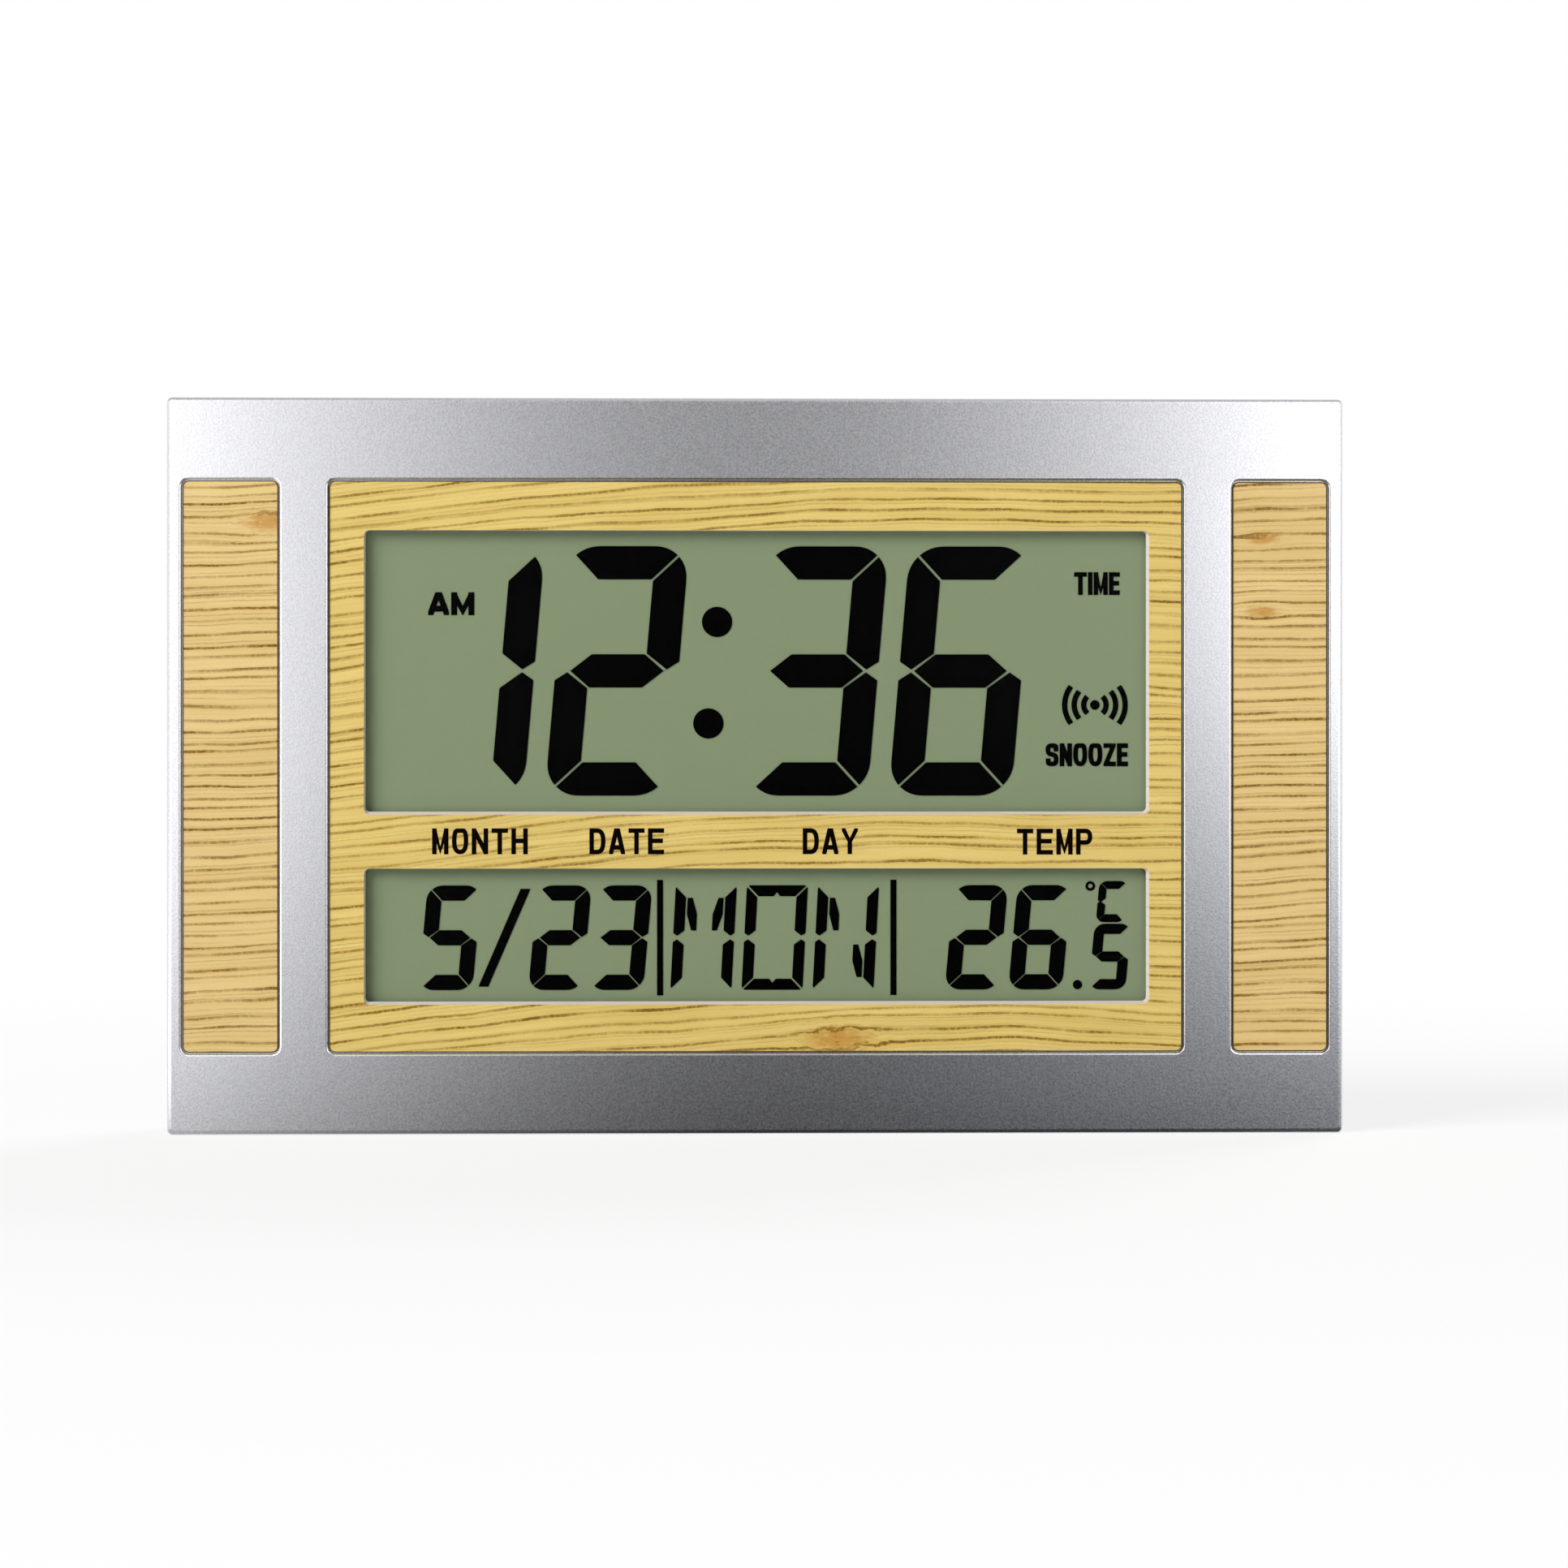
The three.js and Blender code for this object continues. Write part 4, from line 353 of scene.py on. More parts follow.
# %% [markdown]
# ## Panel rims
# The print ends at the panel's face. The outer edges are painted dark brown, a painted shade for the
# shadow in the narrow gap between panel and frame, and the bevelled rims of the two windows are plain
# cream plastic. Both are where the surface turns away from the front, which the surface normal tells,
# and their place tells which of the two it is.

# %% Panel rims
CREAM = colour(208, 197, 186)
# Painted shade: this dark brown on the panels' outer edges stands for the shadow in the gap to the
# frame.
PAINTED_GAP_SHADE = colour(92, 74, 42)
RIM_BAND = 2.0
SOFT_EDGE = 0.1
TURNING = (-0.985, -0.9)


def turned_away(wood):
    """One where the surface turns away from the front, zero on the face."""
    normal = add_node(wood.tree, "ShaderNodeNewGeometry", {})["True Normal"]
    return axes(normal)[1].step(*TURNING)


panel_low, panel_high, _ = box_mm("centre_panel")
outside = centre_wood.x * 0
for place, limit, blur in (
    (centre_wood.x.math("ABSOLUTE"), panel_high.x - RIM_BAND, SOFT_EDGE),
    (centre_wood.z, panel_low.z + RIM_BAND, -SOFT_EDGE),
    (centre_wood.z, panel_high.z - RIM_BAND, SOFT_EDGE),
):
    outside = outside + place.step(limit, limit + blur)
# The centre panel's outer band gets the dark brown painted shade and its window rims stay cream.
# Every turned edge of the side panels gets the painted shade.
rim_colour = centre_wood.blend(outside.math("MINIMUM", 1.0), CREAM, PAINTED_GAP_SHADE)
centre_wood.use("Base Color", centre_wood.blend(turned_away(centre_wood), centre_colour, rim_colour))
side_wood.use("Base Color", side_wood.blend(turned_away(side_wood), side_colour, PAINTED_GAP_SHADE))
print("panel rims:", RIM_BAND, "mm band")

# %% [markdown]
# ## Displays
# A reflective display is an olive sheet with black figures. The windows before it are clear plates
# with only a faint sheen. The ink on the panel is a soft black.

# %% Display finishes
display = Finish("display_glass", colour(142, 157, 122), roughness=0.45, specular=0.12)
mottle = display.noise(display.x * 2.5, 0, display.z * 2.5).step(-0.4, 0.4)
display.use("Base Color", display.blend(mottle, colour(140, 155, 120), colour(144, 159, 124)))
figure_ink = Finish("display_figures", colour(2, 2, 2), roughness=0.6, specular=0.0)
figure_ink.use("Roughness", figure_ink.noise(figure_ink.x, 0, figure_ink.z) * 0.1 + 0.6)
label_ink = Finish("label_ink", colour(5, 2, 2), roughness=0.6, specular=0.03)
label_ink.use("Roughness", label_ink.noise(label_ink.x * 4, 0, label_ink.z * 4) * 0.2 + 0.6)
clear = Finish("clear_plate", colour(14, 16, 14), roughness=0.06, specular=0.5)
clear.use("Alpha", 0.05)
print("display finishes ready")

# %% [markdown]
# ## Pieces from the solids
# Most pieces keep the shape of their solid. A copy is merged, its flat faces are joined and its
# round faces are shaded smooth, and then it stands for the solid in the picture.

# %% Copies of solids
SMOOTH_ANGLE = math.radians(38)
FLAT_ANGLE = math.radians(0.5)
BEVEL_ANGLE = math.radians(50)
BEVEL_STEPS = 2
BROAD_FACES = 100
MERGE_REACH = MM / 1000


def merged_copy(node):
    """A bmesh of a node's mesh with its loose triangles joined."""
    mesh = bmesh.new()
    mesh.from_mesh(frame["nodes"][node].data)
    bmesh.ops.remove_doubles(mesh, verts=mesh.verts, dist=MERGE_REACH)
    return mesh


def join_flat_faces(mesh):
    """Makes one face of the triangles that lie in one plane."""
    bmesh.ops.dissolve_limit(mesh, angle_limit=FLAT_ANGLE, verts=mesh.verts, edges=mesh.edges)


def add_piece(name, mesh, finish, slot, *nodes):
    """Makes a piece from a bmesh that stands for the nodes, on their own body or on the case."""
    data = bpy.data.meshes.new(name)
    mesh.to_mesh(data)
    mesh.free()
    data.shade_smooth()
    data.set_sharp_from_angle(angle=SMOOTH_ANGLE)
    data.materials.append(finish.material)
    piece = bpy.data.objects.new(name, data)
    bpy.context.collection.objects.link(piece)
    body = next((node for node in nodes if node in frame["bodies"]), "case")
    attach(piece, body)
    if nodes:
        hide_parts(*nodes)
    return piece


def flatten_shading(piece):
    """Makes broad faces shade flat where a rounded edge meets them."""
    weighted = piece.modifiers.new("shading", "WEIGHTED_NORMAL")
    weighted.keep_sharp = True
    weighted.weight = BROAD_FACES


def dress(node, finish, slot, edge_mm=0.0):
    """A smooth copy of a node, with its edges softened by edge_mm."""
    mesh = merged_copy(node)
    join_flat_faces(mesh)
    piece = add_piece(f"{node}_dressed", mesh, finish, slot, node)
    if edge_mm:
        bevel = piece.modifiers.new("edges", "BEVEL")
        bevel.width = edge_mm * MM
        bevel.segments = BEVEL_STEPS
        bevel.angle_limit = BEVEL_ANGLE
    flatten_shading(piece)


dress("front_frame", silver, "silver_paint")
print("front frame dressed")

# %% [markdown]
# ## Panels
# A panel is a plate with sharp edges. A narrow bevel breaks the outline of its front, where it
# catches a line of light. The rims of the window openings have their bevels in the solid already.

# %% Panels
PANEL_EDGE = 0.25
HAIR = MM / 100


def inset(vert, low, high):
    """How far a point lies inside the outline of a box, seen from the front."""
    return min(vert.co.x - low.x, high.x - vert.co.x, vert.co.z - low.z, high.z - vert.co.z)


def dress_panel(node, finish):
    """A copy of a panel whose outer front edge is broken."""
    low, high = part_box(node)
    mesh = merged_copy(node)
    join_flat_faces(mesh)

    def on_outline(vert):
        return vert.co.y < low.y + HAIR and inset(vert, low, high) < RIM_BAND * MM

    outline = [edge for edge in mesh.edges if all(on_outline(vert) for vert in edge.verts)]
    bmesh.ops.bevel(mesh, geom=outline, offset=PANEL_EDGE * MM, segments=1, affect="EDGES")
    flatten_shading(add_piece(f"{node}_dressed", mesh, finish, "wood_print", node))


PANELS = {"left_panel": side_wood, "right_panel": side_wood, "centre_panel": centre_wood}
for panel, finish in PANELS.items():
    dress_panel(panel, finish)
print("panels dressed:", len(PANELS))

# %% [markdown]
# ## Figures
# The figures stand a tenth of a millimetre proud of the display glass in the solid. Their front
# faces are lifted off a copy and given a body of their own in black, and the glass is what is left,
# closed again.

# %% Figures and glass
FIGURE_RELIEF = 0.12 * MM
FIGURE_HEIGHT = 0.1 * MM
WINDOW_EDGE = 0.1


def thicken(mesh, faces, depth):
    """Gives flat faces a body that reaches back by depth."""
    grown = bmesh.ops.extrude_face_region(mesh, geom=faces, use_keep_orig=True)
    backs = [item for item in grown["geom"] if isinstance(item, bmesh.types.BMVert)]
    bmesh.ops.translate(mesh, verts=backs, vec=(0, depth, 0))


def split_display(node):
    """The glass of a display without its figures, and the figures by themselves."""
    low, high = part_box(node)
    glass = merged_copy(node)
    figures = glass.copy()
    raised = [vert for vert in glass.verts if vert.co.y < low.y + 2 * FIGURE_RELIEF]
    marks = [vert for vert in raised if inset(vert, low, high) > HAIR]
    bmesh.ops.delete(glass, geom=marks, context="VERTS")
    bmesh.ops.holes_fill(glass, edges=[edge for edge in glass.edges if edge.is_boundary])
    join_flat_faces(glass)
    rest = [face for face in figures.faces if max(v.co.y for v in face.verts) > low.y + HAIR]
    bmesh.ops.delete(figures, geom=rest, context="FACES")
    thicken(figures, figures.faces[:], FIGURE_HEIGHT)
    bmesh.ops.recalc_face_normals(figures, faces=figures.faces)
    return glass, figures


for name in ("time_lcd", "calendar_lcd"):
    glass, figures = split_display(name)
    print(name, "figures:", len(figures.faces), "faces")
    add_piece(f"{name}_glass", glass, display, "display_glass", name)
    add_piece(f"{name}_figures", figures, figure_ink, "display_glass", name)
for window in ("time_window", "calendar_window"):
    dress(window, clear, "clear_plate", edge_mm=WINDOW_EDGE)
print("displays ready")

# %% [markdown]
# ## Letters
# The displays and the panel carry a few plain capitals. Each letter is a set of pen strokes in a box
# one unit wide and high. A stroke becomes a ribbon with mitred corners, the ribbons of one letter
# are merged in the plane, and the flat letter is raised into a thin slab. A third number at a
# corner rounds it by that share of the box.

# %% Letter strokes
STEMS = [[(0, 0), (0, 1)], [(1, 0), (1, 1)]]
LETTERS = {
    "A": [[(0, 0), (0.42, 1), (0.58, 1), (1, 0)], [(0.12, 0.21), (0.88, 0.21)]],
    "D": [[(0, 0), (0, 1), (1, 1, 0.55), (1, 0, 0.55), (0, 0)]],
    "E": [[(1, 1), (0, 1), (0, 0), (1, 0)], [(0, 0.52), (0.9, 0.52)]],
    "H": [*STEMS, [(0, 0.52), (1, 0.52)]],
    "I": [[(0.5, 0), (0.5, 1)]],
    "L": [[(0, 1), (0, 0), (1, 0)]],
    "M": [*STEMS, [(0.02, 1), (0.5, 0.08), (0.98, 1)]],
    "N": [*STEMS, [(0.03, 1), (0.97, 0)]],
    "O": [[(0.5, 1), (1, 1, 0.5), (1, 0, 0.5), (0, 0, 0.5), (0, 1, 0.5), (0.5, 1)]],
    "P": [[(0, 0), (0, 1), (1, 1, 0.4), (1, 0.46, 0.4), (0, 0.46)]],
    "R": [[(0, 0), (0, 1), (1, 1, 0.4), (1, 0.48, 0.4), (0, 0.48)], [(0.45, 0.48), (1, 0)]],
    "S": [[(0.97, 0.81), (0.97, 1, 0.4), (0, 1, 0.45), (0, 0.58, 0.3), (1, 0.46, 0.3), (1, 0, 0.45),
           (0.03, 0, 0.4), (0.03, 0.17)]],
    "T": [[(0, 1), (1, 1)], [(0.5, 1), (0.5, 0)]],
    "U": [[(0, 1), (0, 0, 0.42), (1, 0, 0.42), (1, 1)]],
    "W": [[(0, 1), (0.25, 0), (0.5, 0.8), (0.75, 0), (1, 1)]],
    "Y": [[(0, 1), (0.5, 0.46), (1, 1)], [(0.5, 0.5), (0.5, 0)]],
    "Z": [[(0, 1), (1, 1), (0, 0), (1, 0)]],
}
CORNER_STEPS = 5
MITRE_LIMIT = 1.7
SAME_PLACE = 1e-6
NO_LENGTH = 1e-9
INSIDE_ONLY = 1
PLANE_MERGE = 1e-7


def rounded(corners):
    """The points of a stroke, with its marked corners rounded."""
    points = []
    for place, corner in enumerate(corners):
        here = Vector(corner[:2])
        if len(corner) == 2:
            points.append(here)
            continue
        ends = []
        for neighbour in (corners[place - 1], corners[place + 1]):
            away = Vector(neighbour[:2]) - here
            ends.append(here + away.normalized() * min(corner[2], away.length / 2))
        for step in range(CORNER_STEPS + 1):
            t = step / CORNER_STEPS
            points.append(ends[0] * (1 - t) ** 2 + here * 2 * t * (1 - t) + ends[1] * t ** 2)
    return points


def ribbon(points, weight):
    """The quads of a stroke that is weight wide."""
    closed = (points[0] - points[-1]).length < SAME_PLACE
    if closed:
        points = points[:-1]
    count = len(points)
    sides = []
    for place, here in enumerate(points):
        before = points[place - 1] if closed or place else None
        after = points[(place + 1) % count] if closed or place + 1 < count else None
        normals = []
        for start, end in ((before, here), (here, after)):
            if start is not None and end is not None and (end - start).length > NO_LENGTH:
                along = (end - start).normalized()
                normals.append(Vector((-along.y, along.x)))
        middle = sum(normals, Vector((0, 0))).normalized()
        reach = min(MITRE_LIMIT, 1 / max(0.1, middle.dot(normals[0])))
        offset = middle * reach * weight / 2
        sides.append((here + offset, here - offset))
    quads = []
    for here in range(count if closed else count - 1):
        there = (here + 1) % count
        quads.append([sides[here][1], sides[there][1], sides[there][0], sides[here][0]])
    return quads


def raise_flat(mesh, polygons, base_y, height):
    """Merges flat polygons in x and z and adds them to a bmesh as a slab in front of base_y."""
    points = [point for polygon in polygons for point in polygon]
    faces, start = [], 0
    for polygon in polygons:
        faces.append(list(range(start, start + len(polygon))))
        start += len(polygon)
    merged = delaunay_2d_cdt(points, [], faces, INSIDE_ONLY, PLANE_MERGE)
    flat, _, triangles, _, _, owners = merged
    kept = [triangle for triangle, owner in zip(triangles, owners) if owner]
    used = sorted({index for triangle in kept for index in triangle})
    front = {index: mesh.verts.new((flat[index].x, base_y - height, flat[index].y)) for index in used}
    made = [mesh.faces.new([front[index] for index in triangle]) for triangle in kept]
    for face in made:
        face.normal_update()
        if face.normal.y > 0:
            face.normal_flip()
    thicken(mesh, made, height)


print("letters:", len(LETTERS))

# %% [markdown]
# ## Words
# A word fills the room between two x values, and narrow or wide letters have their own share of
# it. Slanted strokes are made longer and then cut level at the letter's box, so their feet are flat.

# %% Words
STEEP = 0.5
LETTER_SHARES = {"I": 0.36, "M": 1.11, "E": 0.85, "N": 0.95, "O": 1.08, "Z": 0.95}


def cut_to_box(polygon, low, high):
    """The part of a flat polygon that lies in a box."""
    for axis, limit, side in ((0, low.x, 1), (0, high.x, -1), (1, low.y, 1), (1, high.y, -1)):
        kept = []
        for here, there in zip(polygon, polygon[1:] + polygon[:1]):
            inside = (here[axis] - limit) * side >= 0
            if inside:
                kept.append(here)
            if inside != ((there[axis] - limit) * side >= 0):
                kept.append(here.lerp(there, (limit - here[axis]) / (there[axis] - here[axis])))
        polygon = kept
    return polygon


def longer(end, before, weight):
    """The end of a stroke moved on, so that a slanted one still fills the letter's box."""
    way = (end - before).normalized()
    reach = (1 + abs(way.x)) / abs(way.y) if abs(way.y) > STEEP else 1
    return end + way * reach * weight / 2


def word_letters(text, left, right, base, height, weight, gap, shares):
    """The ribbons of each letter of a word between two x values, all in millimetres."""
    widths = [shares.get(letter, 1.0) for letter in text]
    unit = (right - left) / (sum(widths) + gap * (len(text) - 1))
    letters, x = [], left
    for letter, width in zip(text, widths):
        wide = max(width * unit - weight, 0)
        low, high = Vector((x, base)), Vector((x + wide + weight, base + height))
        corner = Vector((x + weight / 2, base + weight / 2))
        quads = []
        for stroke in LETTERS[letter]:
            points = [corner + Vector((p.x * wide, p.y * (height - weight))) for p in rounded(stroke)]
            if (points[0] - points[-1]).length > SAME_PLACE:
                points = [longer(points[0], points[1], weight), *points[1:]]
                points = [*points[:-1], longer(points[-1], points[-2], weight)]
            quads += [cut_to_box(quad, low, high) for quad in ribbon(points, weight)]
        letters.append([[point * MM for point in quad] for quad in quads if len(quad) > 2])
        x += (width + gap) * unit
    return letters


def add_marks(name, shapes, base_y, height, finish, slot, mirrored=False):
    """One piece of flat shapes raised from base_y; a negative height raises them to the back."""
    mesh = bmesh.new()
    for polygons in shapes:
        raise_flat(mesh, polygons, base_y, height)
    if mirrored:
        bmesh.ops.scale(mesh, vec=(-1, 1, 1), verts=mesh.verts)
    bmesh.ops.recalc_face_normals(mesh, faces=mesh.faces)
    print(name, "faces:", len(mesh.faces))
    add_piece(name, mesh, finish, slot)


print("letters with their own width:", len(LETTER_SHARES))

# %% [markdown]
# ## Words and waves
# Beside the time stand a few words and a sign of three waves on each side of a dot. The waves are
# arcs about the dot, so they are ribbons along a circle.

# %% Words and waves
WAVE_PLACE = (74.87, 94.53)
WAVE_RADII = (2.49, 4.6, 6.71)
WAVE_SPREADS = (48, 41, 38)
WAVE_WEIGHT = 1.2
WAVE_STEPS = 10
DOT_RADIUS = 1.08
DOT_SIDES = 24


def arc(x, z, radius, start, end, steps):
    angles = [start + (end - start) * step / steps for step in range(steps + 1)]
    return [Vector((x + radius * math.cos(a), z + radius * math.sin(a))) for a in angles]


def wave_sign(x, z):
    """A dot between two fans of arcs, in millimetres."""
    dot = arc(x, z, DOT_RADIUS, 0, 2 * math.pi, DOT_SIDES)[:-1]
    shapes = [[[point * MM for point in dot]]]
    for middle in (0, math.pi):
        for radius, degrees in zip(WAVE_RADII, WAVE_SPREADS):
            spread = math.radians(degrees)
            points = arc(x, z, radius, middle - spread, middle + spread, WAVE_STEPS)
            shapes.append([[q * MM for q in quad] for quad in ribbon(points, WAVE_WEIGHT)])
    return shapes


DISPLAY_WORDS = [
    ("AM", -72.36, -62.2, 114.28, 5.05, 1.32, 0.1),
    ("TIME", 70.25, 80.38, 118.85, 5.05, 1.02, 0.09),
    ("SNOOZE", 63.93, 82.2, 80.96, 5.1, 1.06, 0.08),
]
PANEL_WORDS = [
    ("MONTH", -71.35, -50.35, 61.62, 5.7, 1.0, 0.21),
    ("DATE", -36.8, -20.38, 61.62, 5.7, 1.0, 0.21),
    ("DAY", 10.15, 22.3, 61.62, 5.7, 1.0, 0.21),
    ("TEMP", 57.4, 74.05, 61.5, 5.7, 1.0, 0.21),
]
PRINT_HEIGHT = 0.03 * MM
time_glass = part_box("time_lcd")[0].y + FIGURE_RELIEF
panel_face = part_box("centre_panel")[0].y
shapes = wave_sign(*WAVE_PLACE)
for word in DISPLAY_WORDS:
    shapes += word_letters(*word, LETTER_SHARES)
add_marks("display_words", shapes, time_glass, FIGURE_HEIGHT, figure_ink, "display_glass")
shapes = [letter for word in PANEL_WORDS for letter in word_letters(*word, {})]
add_marks("panel_words", shapes, panel_face, PRINT_HEIGHT, label_ink, "wood_print")

# %% [markdown]
# ## Moulded plastics and rubber
# The back cover, stand and battery door are grey plastic from a spark-eroded mould, which leaves a
# fine even grain. The keys, the keypad and the inner holder come from smoother moulds. One function
# makes them all: a grain of the right size varies tone, gloss and slope, and a wide soft cloud
# stands for the flow of the plastic.

# %% Moulded plastics
FLOW_SIZE = 30


def moulded(name, shade, grain_size, roughness, depth_mm):
    """A moulded finish: shade is its colour on a screen, grain_size is in millimetres."""
    plastic = Finish(name, colour(*shade), roughness)
    places = (plastic.x, plastic.y, plastic.z)
    grain = plastic.noise(*(place / grain_size for place in places), detail=3)
    flow = plastic.noise(*(place / FLOW_SIZE for place in places))
    darker = colour(*(channel * 0.93 for channel in shade))
    tone = (grain + flow * 0.3).step(-0.3, 0.3)
    plastic.cover(tone, darker, colour(*shade), grain * 0.2 + roughness, grain, depth_mm)
    return plastic


back_grey = moulded("back_plastic", (153, 154, 155), 0.4, 0.55, 0.06)
key_grey = moulded("button_plastic", (104, 105, 107), 0.3, 0.4, 0.02)
rubber_grey = moulded("keypad_rubber", (104, 107, 110), 0.6, 0.7, 0.02)
holder_white = moulded("white_plastic", (230, 230, 226), 0.5, 0.5, 0.02)
red_sleeve = moulded("red_sleeve", (172, 38, 38), 0.8, 0.4, 0.02)
black_sleeve = moulded("black_sleeve", (32, 32, 33), 0.8, 0.4, 0.02)
black_resin = moulded("black_resin", (30, 30, 31), 2.5, 0.28, 0.08)
print("moulded finishes ready")

# %% [markdown]
# ## Metals
# Screws, contact plates and springs are nickel-plated steel: bright, slightly cloudy, with fine
# rolling marks along the sheet. The buzzer is a brass disc with a pale ceramic disc fired onto it,
# so its finish changes with the distance from its centre.

# %% Metals
ROLL_DEPTH = 0.005


def sheet_metal(name, shade, roughness):
    """A rolled metal and its colour field."""
    metal = Finish(name, colour(*shade), roughness, metallic=1.0)
    cloud = metal.noise(metal.x / 1.5, metal.y / 1.5, metal.z / 1.5, detail=4)
    marks = metal.noise(metal.x / 4, metal.y * 5, metal.z * 5)
    darker = colour(*(channel * 0.86 for channel in shade))
    tone = (cloud + marks * 0.6).step(-0.35, 0.35)
    gloss = cloud * 0.25 + marks * 0.1 + roughness
    return metal, metal.cover(tone, darker, colour(*shade), gloss, marks, ROLL_DEPTH)


CERAMIC = colour(222, 218, 204)
CERAMIC_RADIUS = 9.5
plated, _ = sheet_metal("plated_steel", (200, 202, 204), 0.3)
brass, brass_tone = sheet_metal("buzzer_brass", (201, 164, 75), 0.32)
_, _, buzzer_middle = box_mm("buzzer")
across = brass.x - buzzer_middle.x
up = brass.z - buzzer_middle.z
from_middle = (across * across + up * up).math("SQRT")
ceramic = from_middle.step(CERAMIC_RADIUS - SOFT_EDGE, CERAMIC_RADIUS + SOFT_EDGE, 1, 0)
brass.use("Base Color", brass.blend(ceramic, brass_tone, CERAMIC))
brass.use("Metallic", ceramic * -1 + 1.0)
print("metals ready")

# %% [markdown]
# ## Boards, connectors and ribbon
# The circuit boards are green, with lighter tracks where copper lies under the lacquer. The tracks
# follow lanes, and each lane has its own broken runs. The connectors that link glass and board are
# sandwiches of conducting and plain rubber, so they are finely striped, and so is the flat ribbon.

# %% Boards, connectors and ribbon
TRACK_PITCH = 1.9
STRIPE_PITCH = 0.5
RIBBON_PITCH = 1.0
STRIPE_DEPTH = 0.03
COPPER_DEPTH = 0.04
BOARD_SHADES = (colour(40, 96, 56), colour(86, 144, 84))

board = Finish("board", colour(46, 102, 60), roughness=0.38)


def tracks(along, over):
    lane = over / TRACK_PITCH
    runs = board.noise(along / 9, lane.math("FLOOR") * 5.3, 0).step(-0.02, 0.0)
    return (lane.math("FRACT") - 0.5).math("ABSOLUTE").step(0.15, 0.2, 1, 0) * runs


copper = tracks(board.x, board.z).math("MAXIMUM", tracks(board.z, board.x))
board.cover(copper, *BOARD_SHADES, copper * -0.08 + 0.4, copper, COPPER_DEPTH)


def striped(name, dark, pale, pitch, roughness):
    """Stripes that cross the x axis."""
    finish = Finish(name, colour(*dark), roughness)
    stripe = ((finish.x / pitch).math("FRACT") - 0.5).math("ABSOLUTE").step(0.2, 0.3)
    gloss = finish.noise(finish.x, finish.y, finish.z) * 0.2 + roughness
    finish.cover(stripe, colour(*dark), colour(*pale), gloss, stripe, STRIPE_DEPTH)
    return finish


zebra = striped("connector_rubber", (44, 44, 46), (150, 148, 140), STRIPE_PITCH, 0.7)
ribbon_print = striped("key_ribbon", (168, 170, 172), (226, 226, 222), RIBBON_PITCH, 0.4)
print("board, connector and ribbon finishes ready")

# %% [markdown]
# ## Back and inner pieces
# Most of the back and the inside keep the shape of their solids. They are copied and shaded smooth,
# and the edges that a hand would touch are slightly rounded, as moulded edges are.

# %% Back and inner pieces
KEYS = ("mode", "set", "up", "down", "alarm", "snooze")
CONTACT_PLATES = [f"battery_{kind}_plate" for kind in ("link", "positive", "negative")]
FITTINGS = [
    (back_grey, "back_plastic", 0.15, ["back_cover", "stand"]),
    (key_grey, "button_plastic", 0.3, [f"{key}_button" for key in KEYS]),
    (rubber_grey, "keypad_rubber", 0.0, ["rubber_keypad"]),
    (holder_white, "white_plastic", 0.0, ["display_holder"]),
    (ribbon_print, "white_plastic", 0.0, ["key_ribbon"]),
    (zebra, "connector_rubber", 0.0, ["time_connector", "calendar_connector"]),
    (board, "board", 0.0, ["main_board", "key_board"]),
    (black_resin, "black_resin", 0.0, ["chip_cover", "capacitor", "temperature_sensor"]),
    (plated, "plated_steel", 0.0, ["quartz_crystal", *CONTACT_PLATES]),
    (brass, "buzzer_brass", 0.0, ["buzzer"]),
    (red_sleeve, "red_sleeve", 0.0, ["buzzer_lead_red", "battery_lead_red"]),
    (black_sleeve, "black_sleeve", 0.0, ["buzzer_lead_black", "battery_lead_black"]),
]
for finish, slot, edge_mm, nodes in FITTINGS:
    for node in nodes:
        dress(node, finish, slot, edge_mm)
print("fittings dressed:", sum(len(nodes) for *_, nodes in FITTINGS))

# %% [markdown]
# ## Geometry recipes
# Screws, springs and grip grooves repeat one shape at several places. Each is a geometry node tree
# with named sizes. A small class adds the nodes, sets the sizes by socket and turns the result into
# a plain mesh.


